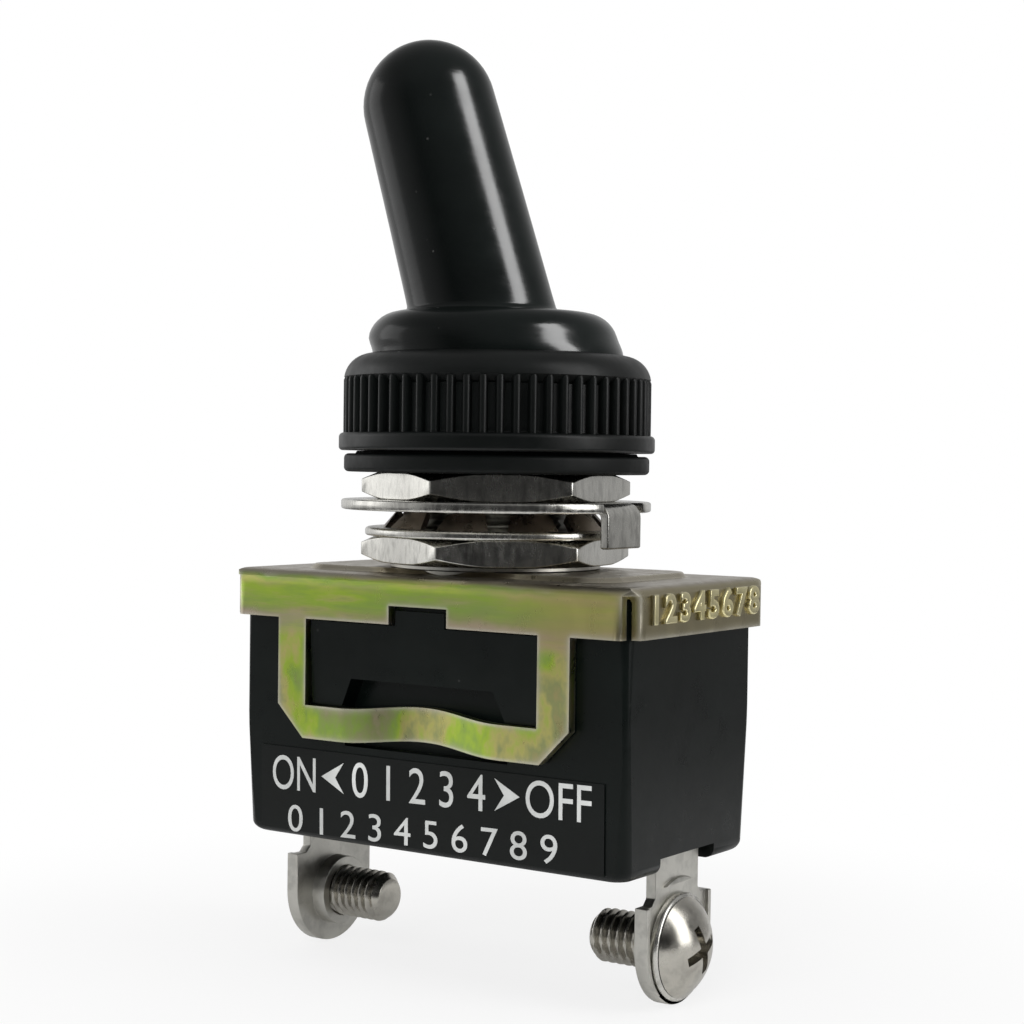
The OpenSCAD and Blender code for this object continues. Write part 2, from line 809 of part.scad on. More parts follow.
// Sleeve, smaller all round by the given amount and starting above its root
module sleeve(shrink, start) {
    along_sleeve() {
        translate([0, 0, start])
            cylinder(h = sleeve_l - start, r1 = sleeve_base_r - shrink, r2 = sleeve_tip_r - shrink);
        translate([0, 0, sleeve_l])
            sphere(sleeve_tip_r - shrink);
    }
}

module boot() {
    round_r = 1.9;
    inner_r = bushing_r + bushing_room;
    inner_top = bushing_top + bushing_room;
    color("#141516")
    difference() {
        union() {
            rotate_extrude()
                union() {
                    translate([0, cavity_z + 0.05])
                        square([flange_r, throat_z - cavity_z - 0.1]);
                    translate([0, throat_z - 0.5])
                        square([dome_r, dome_top - round_r - throat_z + 0.5]);
                    translate([0, dome_top - round_r - eps])
                        square([dome_r - round_r, round_r + eps]);
                    translate([dome_r - round_r, dome_top - round_r])
                        circle(round_r);
                }
            sleeve(0, sleeve_start);
        }
        translate([0, 0, cavity_z - 1])
            cylinder(h = inner_top - cavity_z + 1, r = inner_r);
        translate([0, 0, inner_top - eps])
            cylinder(h = round_r, r1 = inner_r, r2 = sleeve_base_r - sleeve_wall);
        sleeve(sleeve_wall, 0);
    }
}

// ---- lever ----

// Turns its children with the lever at rest: z runs up the lever from its pivot
module along_lever() {
    translate([0, 0, pivot_z])
        rotate([0, -lever_lean, 0])
            children();
}

module lever() {
    color("#c8c9c7")
    along_lever()
        difference() {
            union() {
                sphere(ball_r);
                cylinder(h = 5.5, r = neck_r);
                translate([0, 0, 5])
                    cylinder(h = bat_reach - 5, r1 = neck_r, r2 = bat_r);
                translate([0, 0, bat_reach])
                    sphere(bat_r);
                translate([0, 0, -arm_reach])
                    cylinder(h = arm_reach, r = arm_r);
            }
            rotate([90, 0, 0])
                cylinder(h = 20, r = pin_r + running_fit, center = true);
            translate([0, 0, -arm_reach - 1])
                cylinder(h = arm_reach + 1 - arm_bore_top, r = arm_bore_r);
        }
}

module lever_pin() {
    color("#b0b1af")
    translate([0, 0, pivot_z])
        rotate([90, 0, 0])
            cylinder(h = 2 * (bushing_r - 0.3), r = pin_r, center = true);
}

module plunger() {
    color("#e6e1cf")
    along_lever() {
        translate([0, 0, -tip_reach])
            sphere(plunger_r);
        translate([0, 0, -tip_reach])
            cylinder(h = plunger_l - plunger_r, r = plunger_r);
    }
}

// Ring of points around the spring's wire at turn t, for the coil's polyhedron
function wire_ring(t, coil_r, pitch, sides) = [for (k = [0:sides - 1])
    let (a = 360 * k / sides, r = coil_r + spring_wire_r * cos(a))
    [r * cos(360 * t), r * sin(360 * t), pitch * t + spring_wire_r * sin(a)]];

module plunger_spring() {
    sides = 6;
    steps = 14 * spring_turns;
    coil_r = plunger_r - spring_wire_r - spring_room;
    pitch = (spring_l - 2 * spring_wire_r - 2 * spring_room) / spring_turns;
    points = [for (i = [0:steps]) each wire_ring(i * spring_turns / steps, coil_r, pitch, sides)];
    walls = [for (i = [0:steps - 1], k = [0:sides - 1])
        let (n = (k + 1) % sides)
        [i * sides + k, (i + 1) * sides + k, (i + 1) * sides + n, i * sides + n]];
    ends = [[for (k = [0:sides - 1]) k], [for (k = [sides - 1:-1:0]) steps * sides + k]];
    color("#9a9b99")
    along_lever()
        translate([0, 0, -arm_bore_top - spring_l + spring_wire_r + spring_room])
            polyhedron(points, concat(walls, ends));
}

// ---- rocker and contacts ----

// Turns its children with the rocker at rest
module along_rocker() {
    translate([0, 0, fulcrum_z])
        rotate([0, rocker_tilt, 0])
            children();
}

// Side view of the rocker: a round hollow between two wings
module rocker_side() {
    shoulder_z0 = hollow_z - sqrt(hollow_r * hollow_r - hollow_half * hollow_half);
    low_r = hollow_r + rocker_t;
    intersection() {
        difference() {
            translate([0, hollow_z])
                circle(low_r, $fn = 120);
            translate([0, hollow_z])
                circle(hollow_r, $fn = 120);
        }
        translate([-hollow_half, 0])
            square([2 * hollow_half, shoulder_z0]);
    }
    for (side = [0, 1])
        mirror([side, 0])
            polygon([[hollow_half - 0.3, shoulder_z0], [hollow_half + 0.5, shoulder_z0],
                     [wing_start + 0.3, wing_z + rocker_t / 2], [rocker_half_l, wing_z + rocker_t / 2],
                     [rocker_half_l, wing_z - rocker_t / 2], [wing_start, wing_z - rocker_t / 2],
                     [hollow_half - 0.3, shoulder_z0 - 1]]);
    square([2 * trunnion_r, 2 * (path_low - plunger_r - rocker_t / 2)], center = true);
}

module rocker() {
    color("#c98a4b")
    along_rocker()
        difference() {
            union() {
                rotate([90, 0, 0])
                    linear_extrude(2 * rocker_half_w, center = true)
                        rocker_side();
                rotate([90, 0, 0])
                    cylinder(h = 2 * (ear_gap + ear_t), r = trunnion_r, center = true);
            }
            translate([contact_reach, 0, wing_z])
                cylinder(h = 4, r = rivet_r, center = true);
        }
}

// Domed button with a rivet shank; the dome points to -z
module contact_button(shank) {
    sphere_r = (contact_r * contact_r + dome_h * dome_h) / (2 * dome_h);
    intersection() {
        translate([0, 0, sphere_r - button_h - dome_h])
            sphere(sphere_r, $fn = 96);
        translate([0, 0, -button_h - dome_h])
            cylinder(h = button_h + dome_h, r = contact_r);
    }
    translate([0, 0, -eps])
        cylinder(h = shank + rivet_proud + eps, r = rivet_r - pin_fit);
}

module rocker_contact() {
    color("#dcdcd8")
    along_rocker()
        translate([contact_reach, 0, wing_z - rocker_t / 2])
            contact_button(rocker_t);
}

module fixed_contact() {
    color("#dcdcd8")
    translate([contact_x, 0, shelf_z]) {
        cylinder(h = contact_z - shelf_z, r = contact_r + fixed_extra);
        translate([0, 0, -terminal_t - rivet_proud])
            cylinder(h = terminal_t + rivet_proud + eps, r = rivet_r - pin_fit);
    }
}

// ---- terminals ----

// Outside part of a terminal at +X, with the neck up to the given height
module terminal_blade(neck_top) {
    boss_r = screw_r + 0.65;
    boss_l = 1;
    inner = terminal_x - terminal_t;
    difference() {
        union() {
            translate([inner, 0, 0])
                rotate([90, 0, 90])
                    linear_extrude(terminal_t)
                        blade_outline(0, neck_top);
            translate([terminal_x - eps, 0, 0])
                rotate([90, 0, 90])
                    linear_extrude(rim_h + eps)
                        difference() {
                            blade_outline(0, -shoulder_z);
                            blade_outline(rim_t, -shoulder_z + 1);
                            translate([0, -screw_z])
                                circle(washer_r + 0.1);
                        }
            translate([inner - boss_l, 0, -screw_z])
                rotate([0, 90, 0])
                    cylinder(h = boss_l + eps, r = boss_r);
        }
        translate([inner - 2 * boss_l, 0, -screw_z])
            rotate([0, 90, 0])
                cylinder(h = 5, r = screw_r + running_fit);
    }
}

module blade_outline(inset, neck_top) {
    half = plate_w / 2 - inset;
    translate([-half, -plate_round_z])
        square([2 * half, plate_round_z - shoulder_z + (inset > 0 ? 1 : 0)]);
    translate([0, -plate_round_z])
        circle(half);
    translate([-neck_w / 2, -shoulder_z - 1])
        square([neck_w, neck_top + shoulder_z + 1]);
}

module terminal_left() {
    strap_top = floor_z + terminal_t;
    ear_w = 3.4;
    ear_top = fulcrum_z + 1.2;
    color("#c6c7c5")
    difference() {
        union() {
            rotate([0, 0, 180])
                terminal_blade(strap_top);
            translate([-terminal_x, -neck_w / 2, floor_z])
                cube([terminal_x + 2, neck_w, terminal_t]);
            // ears that carry the rocker's trunnion
            for (side = [-1, 1])
                translate([0, side * (ear_gap + ear_t / 2), (floor_z + ear_top) / 2])
                    cube([ear_w, ear_t, ear_top - floor_z], center = true);
            translate([-ear_w / 2, -ear_gap - ear_t, floor_z])
                cube([ear_w, 2 * (ear_gap + ear_t), terminal_t]);
        }
        translate([0, 0, fulcrum_z])
            rotate([90, 0, 0])
                cylinder(h = 20, r = trunnion_r + running_fit, center = true);
    }
}

module terminal_right() {
    shelf_end = contact_x - contact_r - 0.6;
    color("#c6c7c5")
    difference() {
        union() {
            terminal_blade(shelf_z);
            translate([shelf_end, -neck_w / 2, shelf_z - terminal_t])
                cube([terminal_x - shelf_end, neck_w, terminal_t]);
        }
        translate([contact_x, 0, shelf_z])
            cylinder(h = 10, r = rivet_r, center = true);
    }
}

// Pan-head screw at +X, pointing inwards
module terminal_screw() {
    head_x = terminal_x + washer_t;
    tip_cut = 0.5;
    crown_r = (head_r * head_r + head_h * head_h) / (2 * head_h);
    color("#d3d4d2")
    translate([0, 0, -screw_z])
        rotate([0, 90, 0])
            difference() {
                union() {
                    translate([0, 0, screw_tip_x])
                        cylinder(h = tip_cut, r1 = screw_r - tip_cut, r2 = screw_r);
                    translate([0, 0, screw_tip_x + tip_cut - eps])
                        cylinder(h = head_x - screw_tip_x - tip_cut + 2 * eps, r = screw_r);
                    intersection() {
                        translate([0, 0, head_x + head_h - crown_r])
                            sphere(crown_r, $fn = 96);
                        translate([0, 0, head_x])
                            cylinder(h = head_h, r = head_r - 0.02);
                    }
                }
                cross_recess(head_x + head_h);
            }
}

// Cross recess cut into the head from the given height
module cross_recess(top) {
    for (turn = [screw_turn, screw_turn + 90])
        rotate([0, 0, turn])
            translate([0, 0, top])
                rotate([90, 0, 0])
                    linear_extrude(0.62, center = true)
                        polygon([[-1.75, 0.5], [1.75, 0.5], [1.55, -0.4], [0.45, -1.35], [-0.45, -1.35],
                                 [-1.55, -0.4]]);
}

module screw_washer() {
    color("#bfc0be")
    translate([terminal_x, 0, -screw_z])
        rotate([0, 90, 0])
            difference() {
                cylinder(h = washer_t, r = washer_r);
                translate([0, 0, -1])
                    cylinder(h = washer_t + 2, r = screw_r + running_fit);
            }
}

module terminal_screw_left() rotate([0, 0, 180]) terminal_screw();

module terminal_screw_right() terminal_screw();

module screw_washer_left() rotate([0, 0, 180]) screw_washer();

module screw_washer_right() screw_washer();

housing();
bracket();
insulator_plate();
rating_label();
bushing();
lower_nut();
lock_washer();
tab_washer();
upper_nut();
sealing_disc();
boot_nut();
boot();
lever();
lever_pin();
plunger();
plunger_spring();
rocker();
rocker_contact();
fixed_contact();
terminal_left();
terminal_right();
terminal_screw_left();
terminal_screw_right();
screw_washer_left();
screw_washer_right();
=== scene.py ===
"""Looks of the panel toggle switch: finishes, threads, print, boot and studio."""
import logging
import math
from dataclasses import dataclass
from enum import Enum
from itertools import accumulate
from typing import Sequence

import bmesh
import bpy
from mathutils import Matrix, Vector


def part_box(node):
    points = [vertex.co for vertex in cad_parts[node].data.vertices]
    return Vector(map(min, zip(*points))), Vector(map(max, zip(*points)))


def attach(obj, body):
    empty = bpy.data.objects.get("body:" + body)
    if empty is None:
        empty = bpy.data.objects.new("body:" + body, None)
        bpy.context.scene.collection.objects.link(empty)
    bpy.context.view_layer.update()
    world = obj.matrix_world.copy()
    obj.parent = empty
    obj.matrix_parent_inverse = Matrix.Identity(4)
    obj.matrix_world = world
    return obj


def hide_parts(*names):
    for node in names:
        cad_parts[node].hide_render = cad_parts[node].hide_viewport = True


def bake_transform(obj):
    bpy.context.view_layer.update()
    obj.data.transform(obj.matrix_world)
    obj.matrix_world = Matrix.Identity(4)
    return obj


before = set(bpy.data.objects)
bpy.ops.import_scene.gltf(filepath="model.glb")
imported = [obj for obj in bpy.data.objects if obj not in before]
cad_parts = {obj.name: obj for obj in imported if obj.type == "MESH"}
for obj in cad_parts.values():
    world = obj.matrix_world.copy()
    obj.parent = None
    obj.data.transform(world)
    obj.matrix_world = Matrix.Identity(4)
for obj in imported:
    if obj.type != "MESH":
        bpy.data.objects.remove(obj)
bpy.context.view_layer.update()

MM = 0.001
TAU = 2 * math.pi
BOOT = "rubber_boot"
log = logging.getLogger("toggle_switch")

Outline = list[tuple[float, float]]
Ring = list[Vector]
Faces = list[tuple[int, ...]]
Colour = tuple[float, float, float]
Span = tuple[float, float]
Piece = bpy.types.Object
Socket = bpy.types.NodeSocket


class Body(Enum):
    """Bodies of the frame that a piece can ride on."""

    ROOT = "root"
    LEVER = "lever"
    PLUNGER = "plunger"


# ---- mesh tools ----


def rotation(axis: str, degrees: float) -> Matrix:
    """Return a rotation about an axis."""
    return Matrix.Rotation(math.radians(degrees), 4, axis)


def polar(radius: float, turn: float, z: float = 0) -> Vector:
    """Return the point at a radius, a turn in radians and a height."""
    return Vector((radius * math.cos(turn), radius * math.sin(turn), z))


def circle_ring(radius: float, z: float, steps: int) -> Ring:
    """Return one level ring of points about the Z axis."""
    return [polar(radius, TAU * k / steps, z) for k in range(steps)]


def level_rings(levels: Sequence[Span], steps: int) -> list[Ring]:
    """Return a level ring for each radius and height."""
    return [circle_ring(radius, z, steps) for radius, z in levels]


def quarter(radius: float, steps: int) -> Outline:
    """Return the points of a quarter circle, from (radius, 0) to (0, radius)."""
    turns = [math.pi / 2 * k / steps for k in range(steps + 1)]
    return [(radius * math.cos(turn), radius * math.sin(turn)) for turn in turns]


def rounded(corners: Sequence[tuple[float, float, float]], steps: int = 4) -> Outline:
    """Round the corners of a closed outline.

    Args:
        corners: x, y and rounding radius of each corner.
        steps: segments in each rounding.

    Returns:
        The points of the rounded outline.
    """
    most = 0.48
    points: Outline = []
    for i, (x, y, radius) in enumerate(corners):
        if radius <= 0:
            points.append((x, y))
            continue
        corner = Vector((x, y))
        back = Vector(corners[i - 1][:2]) - corner
        ahead = Vector(corners[(i + 1) % len(corners)][:2]) - corner
        half = back.angle(ahead) / 2
        cut = min(radius / math.tan(half), most * min(back.length, ahead.length))
        radius = cut * math.tan(half)
        back.normalize()
        ahead.normalize()
        centre = corner + (back + ahead).normalized() * radius / math.sin(half)
        start = corner + back * cut - centre
        end = corner + ahead * cut - centre
        points += [tuple(centre + start.lerp(end, k / steps).normalized() * radius) for k in range(steps + 1)]
    return points


def skin(rings: Sequence[Ring], closed: bool) -> tuple[Ring, Faces]:
    """Join rings of points into a skin of faces.

    Args:
        rings: rings of equal length; a ring of one point is a pole.
        closed: whether the last ring joins the first.

    Returns:
        Vertices and faces.
    """
    starts = list(accumulate((len(ring) for ring in rings), initial=0))
    faces: Faces = []
    for a in range(len(rings) if closed else len(rings) - 1):
        b = (a + 1) % len(rings)
        count = max(len(rings[a]), len(rings[b]))
        for k in range(count if count > 1 else 0):
            n = (k + 1) % count
            low = (starts[a] + k, starts[a] + n) if len(rings[a]) > 1 else (starts[a],)
            high = (starts[b] + n, starts[b] + k) if len(rings[b]) > 1 else (starts[b],)
            faces.append(low + high)
    return [point for ring in rings for point in ring], faces


def capped(rings: Sequence[Ring]) -> tuple[Ring, Faces]:
    """Join rings of points into a skin with a flat face at each end.

    Args:
        rings: rings of equal length.

    Returns:
        Vertices and faces.
    """
    points, faces = skin(rings, closed=False)
    count = len(rings[0])
    return points, faces + [tuple(range(count)), tuple(range(len(points) - count, len(points)))]


def in_scene(name: str, data: bpy.types.ID) -> Piece:
    """Put data into the scene as an object of that name.

    Args:
        name: name of the object.
        data: its data.

    Returns:
        The object.
    """
    piece = bpy.data.objects.new(name, data)
    bpy.context.scene.collection.objects.link(piece)
    return piece


def new_piece(name: str, shape: tuple[Ring, Faces], smooth: float = 38) -> Piece:
    """Make a mesh object.

    Args:
        name: name of the piece.
        shape: its vertices in millimetres and its faces.
        smooth: largest angle in degrees that is shaded smooth.

    Returns:
        The object, at the origin, with its faces pointing outwards.
    """
    mesh = bpy.data.meshes.new(name)
    mesh.from_pydata([tuple(p * MM) for p in shape[0]], [], shape[1])
    tidy_faces(mesh)
    set_smooth(mesh, smooth)
    return in_scene(name, mesh)


def tidy_faces(mesh: bpy.types.Mesh) -> None:
    """Merge doubled vertices and point the faces of a closed mesh outwards.

    Args:
        mesh: the mesh to tidy.
    """
    work = bmesh.new()
    work.from_mesh(mesh)
    bmesh.ops.remove_doubles(work, verts=work.verts, dist=1e-7)
    bmesh.ops.recalc_face_normals(work, faces=work.faces)
    work.to_mesh(mesh)
    work.free()


def set_smooth(mesh: bpy.types.Mesh, angle: float) -> None:
    """Shade a mesh smooth up to an angle in degrees."""
    mesh.polygons.foreach_set("use_smooth", [True] * len(mesh.polygons))
    mesh.set_sharp_from_angle(angle=math.radians(angle))


def modify(piece: Piece, kind: str, **settings: object) -> None:
    """Add a modifier and set its properties.

    Args:
        piece: the object to modify.
        kind: type of the modifier.
        settings: its properties.
    """
    modifier = piece.modifiers.new(kind, kind)
    for key, value in settings.items():
        setattr(modifier, key, value)


def settle(piece: Piece, flat_faces: bool = True) -> Piece:
    """Turn a piece and its modifiers into a plain mesh.

    Args:
        piece: the object to settle.
        flat_faces: whether broad faces keep their own normals.

    Returns:
        The same object, with no modifier left on it.
    """
    if flat_faces:
        modify(piece, "WEIGHTED_NORMAL", keep_sharp=True)
    graph = bpy.context.evaluated_depsgraph_get()
    plain = bpy.data.meshes.new_from_object(piece.evaluated_get(graph))
    plain.name = piece.name
    piece.modifiers.clear()
    piece.data = plain
    return piece


def turned(name: str, outline: Outline, steps: int = 96) -> Piece:
    """Turn a closed outline of radius and height about the Z axis."""
    return new_piece(name, skin(level_rings(outline, steps), closed=True))


def moved(piece: Piece, place: Matrix) -> Piece:
    """Apply a place in millimetres to a piece's mesh.

    Args:
        piece: the piece.
        place: rotation and shift.

    Returns:
        The same piece.
    """
    shift = place.copy()
    shift.translation = place.translation * MM
    piece.data.transform(shift)
    return piece


def cut_with(piece: Piece, operation: str, *tools: Piece) -> None:
    """Cut a piece with closed pieces that are used up.

    Args:
        piece: the piece to cut.
        operation: the boolean operation.
        tools: the pieces to cut it with.
    """
    for tool in tools:
        modify(piece, "BOOLEAN", object=tool, operation=operation, solver="EXACT")
    settle(piece, flat_faces=False)
    for tool in tools:
        bpy.data.objects.remove(tool)


def rounded_copy(node: str, name: str, radius: float, segments: int = 2, within: Piece | None = None) -> Piece:
    """Copy a CAD node and round its edges.

    Args:
        node: name of the CAD node.
        name: name of the new piece.
        radius: width of the rounding in millimetres.
        segments: steps in the rounding.
        within: closed piece that the copy is first trimmed to, and that is used up.

    Returns:
        The new piece as a plain mesh.
    """
    sharp, flat = 32, 0.4
    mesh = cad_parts[node].data.copy()
    mesh.name = name
    mesh.materials.clear()
    work = bmesh.new()
    work.from_mesh(mesh)
    bmesh.ops.remove_doubles(work, verts=work.verts, dist=2e-6)
    bmesh.ops.dissolve_limit(work, angle_limit=math.radians(flat), verts=work.verts, edges=work.edges)
    work.to_mesh(mesh)
    work.free()
    if mesh.has_custom_normals:
        mesh.attributes.remove(mesh.attributes["custom_normal"])
    set_smooth(mesh, sharp)
    piece = in_scene(name, mesh)
    if within:
        cut_with(piece, "INTERSECT", within)
        set_smooth(piece.data, sharp)
    modify(piece, "BEVEL", width=radius * MM, segments=segments, limit_method="ANGLE",
           angle_limit=math.radians(sharp), miter_outer="MITER_ARC")
    settle(piece, flat_faces=False)
    set_smooth(piece.data, sharp)
    return settle(piece)


def joined(name: str, pieces: Sequence[Piece]) -> Piece:
    """Join pieces of one finish into a new one.

    Args:
        name: name of the result.
        pieces: the pieces to join, which are used up.

    Returns:
        One object that holds all the meshes.
    """
    work = bmesh.new()
    for piece in pieces:
        work.from_mesh(piece.data)
        bpy.data.objects.remove(piece)
    mesh = bpy.data.meshes.new(name)
    work.to_mesh(mesh)
    work.free()
    return in_scene(name, mesh)


# ---- node trees ----


class Graph:
    """A node tree under construction."""

    def __init__(self, tree: bpy.types.NodeTree) -> None:
        """Start from an empty tree."""
        tree.nodes.clear()
        self.tree = tree

    def feed(self, node: bpy.types.Node, values: dict[str | int, object]) -> None:
        """Link or set the inputs of a node.

        Args:
            node: the node.
            values: a socket or a plain value for each input, by its name or number.
        """
        for key, value in values.items():
            if isinstance(value, Socket):
                self.tree.links.new(value, node.inputs[key])
            else:
                node.inputs[key].default_value = value

    def add(self, kind: str, values: dict[str | int, object] | None = None, **settings: object) -> bpy.types.Node:
        """Add a node.

        Args:
            kind: type of the node.
            values: a socket or a plain value for each input, by its name or number.
            settings: the node's own properties.

        Returns:
            The node.
        """
        node = self.tree.nodes.new(kind)
        for key, value in settings.items():
            setattr(node, key, value)
        self.feed(node, values or {})
        return node

    def math(self, operation: str, a: Socket | float, b: Socket | float = 0) -> Socket:
        """Combine two values with a math operation."""
        return self.add("ShaderNodeMath", {0: a, 1: b}, operation=operation).outputs[0]

    def times(self, a: Socket | float, b: Socket | float) -> Socket:
        """Multiply two values."""
        return self.math("MULTIPLY", a, b)

    def remap(self, value: Socket, source: Span, target: Span = (0, 1), kind: str = "LINEAR") -> Socket:
        """Map a value from one range to another, clamped."""
        ranges = dict(zip(("From Min", "From Max", "To Min", "To Max"), (*source, *target)))
        return self.add("ShaderNodeMapRange", {"Value": value} | ranges, interpolation_type=kind).outputs[0]

    def fade(self, value: Socket, source: Span, target: Span = (0, 1)) -> Socket:
        """Map a value from one range to another with a soft start and end."""
        return self.remap(value, source, target, "SMOOTHSTEP")

    def ramp(self, value: Socket, stops: Sequence[tuple[float, Colour]]) -> Socket:
        """Colour a value with a ramp.

        Args:
            value: the value to colour.
            stops: place and colour of each stop.

        Returns:
            The colour.
        """
        node = self.add("ShaderNodeValToRGB", {0: value})
        elements = node.color_ramp.elements
        while len(elements) < len(stops):
            elements.new(0.5)
        for element, (place, colour) in zip(elements, stops):
            element.position = place
            element.color = (*colour, 1)
        return node.outputs[0]

    def mix(self, share: Socket, a: Socket | Colour, b: Socket | Colour) -> Socket:
        """Mix two colours by a share from 0 to 1."""
        a, b = ((*colour, 1) if isinstance(colour, tuple) else colour for colour in (a, b))
        return self.add("ShaderNodeMix", {0: share, 6: a, 7: b}, data_type="RGBA").outputs[2]


class RingOfCopies:
    """Geometry Nodes tree that repeats a piece about the Z axis."""

    def __init__(self, name: str) -> None:
        """Build the tree.

        Args:
            name: name of the node group.
        """
        graph = Graph(bpy.data.node_groups.new(name, "GeometryNodeTree"))
        self.tree = graph.tree
        sockets = {"Geometry": "Geometry", "Count": "Int", "Finish": "Material"}
        self.keys = {label: self.tree.interface.new_socket(
            label, in_out="INPUT", socket_type=f"NodeSocket{kind}").identifier for label, kind in sockets.items()}
        self.tree.interface.new_socket("Geometry", in_out="OUTPUT", socket_type="NodeSocketGeometry")
        enter = graph.add("NodeGroupInput").outputs
        index = graph.add("GeometryNodeInputIndex").outputs[0]
        step = graph.math("DIVIDE", TAU, enter["Count"])
        turn = graph.add("ShaderNodeCombineXYZ", {"Z": graph.times(index, step)}).outputs[0]
        points = graph.add("GeometryNodePoints", {"Count": enter["Count"]}).outputs[0]
        copies = graph.add("GeometryNodeInstanceOnPoints",
                           {"Points": points, "Instance": enter["Geometry"], "Rotation": turn}).outputs[0]
        real = graph.add("GeometryNodeRealizeInstances", {0: copies}).outputs[0]
        coat = graph.add("GeometryNodeSetMaterial", {"Geometry": real, "Material": enter["Finish"]})
        graph.add("NodeGroupOutput", {0: coat.outputs[0]})

    def apply(self, piece: Piece, count: int, finish: bpy.types.Material) -> Piece:
        """Repeat a piece about the Z axis and settle the result.

        Args:
            piece: the piece, in place for the first copy.
            count: number of copies.
            finish: material of the copies.

        Returns:
            The piece as a plain mesh with all its copies.
        """
        modifier = piece.modifiers.new("copies", "NODES")
        modifier.node_group = self.tree
        modifier[self.keys["Count"]] = count
        modifier[self.keys["Finish"]] = finish
        return settle(piece, flat_faces=False)


# ---- finishes ----


class Shade(Graph):
    """A material under construction, on object coordinates."""

    def __init__(self, name: str, **values: object) -> None:
        """Start a material with a Principled shader.

        Args:
            name: name of the material.
            values: the shader's plain values by input name, with _ for a space.
        """
        self.material = bpy.data.materials.new(name)
        self.material.use_nodes = True
        super().__init__(self.material.node_tree)
        plain = {key.replace("_", " "): value for key, value in values.items()}
        self.skin = self.add("ShaderNodeBsdfPrincipled", plain)
        self.out = self.add("ShaderNodeOutputMaterial", {0: self.skin.outputs[0]})
        self.place = self.add("ShaderNodeTexCoord").outputs["Object"]

    def noise(self, *scale: float, detail: float = 3, rough: float = 0.55) -> Socket:
        """Add a noise pattern.

        Args:
            scale: cells per metre, once for all axes or along x, y and z.
            detail: octaves of the noise.
            rough: weight of the finer octaves.

        Returns:
            The noise value, about 0.3 to 0.7.
        """
        scale = scale if len(scale) == 3 else scale * 3
        stretch = self.add("ShaderNodeMapping", {"Vector": self.place, "Scale": scale}).outputs[0]
        values = {"Vector": stretch, "Scale": 1, "Detail": detail, "Roughness": rough}
        return self.add("ShaderNodeTexNoise", values).outputs[0]

    def edges(self, width: float, away: Span = (0.88, 0.995)) -> Socket:
        """Return a mask that is 1 on sharp edges and 0 on flat faces.

        Args:
            width: width of the edge in millimetres.
            away: cosines of the rounded normal to the face's at which the mask is full and empty.

        Returns:
            The mask.
        """
        blunt = self.add("ShaderNodeBevel", {"Radius": width * MM}, samples=6).outputs[0]
        normal = self.add("ShaderNodeNewGeometry").outputs["Normal"]
        same = self.add("ShaderNodeVectorMath", {0: blunt, 1: normal}, operation="DOT_PRODUCT")
        return self.remap(same.outputs["Value"], away, (1, 0))

    def axis(self, name: str) -> Socket:
        """Return one object coordinate in metres."""
        return self.add("ShaderNodeSeparateXYZ", {0: self.place}).outputs[name]

    def coat(self, colour: Socket, wear: Socket, roughness: Span, relief: Socket, depth: float) -> bpy.types.Material:
        """Finish the material.

        Args:
            colour: colour of the surface.
            wear: pattern that drives the roughness.
            roughness: its least and greatest value.
            relief: pattern that raises the surface.
            depth: height of a full step of the relief in millimetres.

        Returns:
            The material.
        """
        bump = self.add("ShaderNodeBump", {"Strength": 1, "Distance": depth * MM, "Height": relief})
        self.feed(self.skin, {"Base Color": colour, "Roughness": self.remap(wear, (0.3, 0.7), roughness),
                              "Normal": bump.outputs[0]})
        return self.material


@dataclass(frozen=True)
class Plastic:
    """Moulded plastic or rubber with a fine skin and some dust."""

    name: str
    colour: Colour
    roughness: Span
    skin_depth: float = 0.004
    skin_scale: float = 2600
    skin_shape: tuple[float, float, float] = (1, 1, 1)
    dust: float = 0.0
    specular: float = 0.5
    dust_colour: Colour = (0.20, 0.20, 0.19)

    def material(self) -> bpy.types.Material:
        """Build the material.

        Returns:
            The material.
        """
        shade = Shade(self.name, Specular_IOR_Level=self.specular)
        deep, pale = (tuple(share * c for c in self.colour) for share in (0.75, 1.35))
        tint = shade.ramp(shade.noise(160, detail=4), [(0.3, deep), (0.7, pale)])
        if self.dust > 0:
            specks = shade.add("ShaderNodeTexVoronoi", {"Scale": 760, "Vector": shade.place}, feature="F1")
            near = shade.remap(specks.outputs["Distance"], (0.03, 0.09), (1, 0))
            patch = shade.remap(shade.noise(260), (0.53, 0.60))
            tint = shade.mix(shade.times(shade.times(near, patch), self.dust), tint, self.dust_colour)
        grain = shade.noise(700, detail=5)
        fine = shade.noise(*(self.skin_scale * n for n in self.skin_shape))
        return shade.coat(tint, grain, self.roughness, fine, self.skin_depth)


@dataclass(frozen=True)
class Metal:
    """Plated metal with tool marks along one direction."""

    name: str
    colour: Colour
    roughness: Span
    mark_depth: float
    marks: tuple[float, float, float] = (900, 900, 900)
    grain: float = 0.3

    def material(self) -> bpy.types.Material:
        """Build the material.

        Returns:
            The material.
        """
        shade = Shade(self.name, Metallic=1.0)
        dark, deep, pale = (tuple(min(1.0, share * c) for c in self.colour) for share in (0.35, 0.88, 1.12))
        streak = shade.noise(*self.marks, detail=4, rough=0.6)
        tint = shade.ramp(shade.noise(240, detail=5), [(0.32, deep), (0.68, pale)])
        tint = shade.mix(shade.remap(streak, (0.36, 0.52), (self.grain, 0)), tint, dark)
        return shade.coat(tint, streak, self.roughness, streak, self.mark_depth)


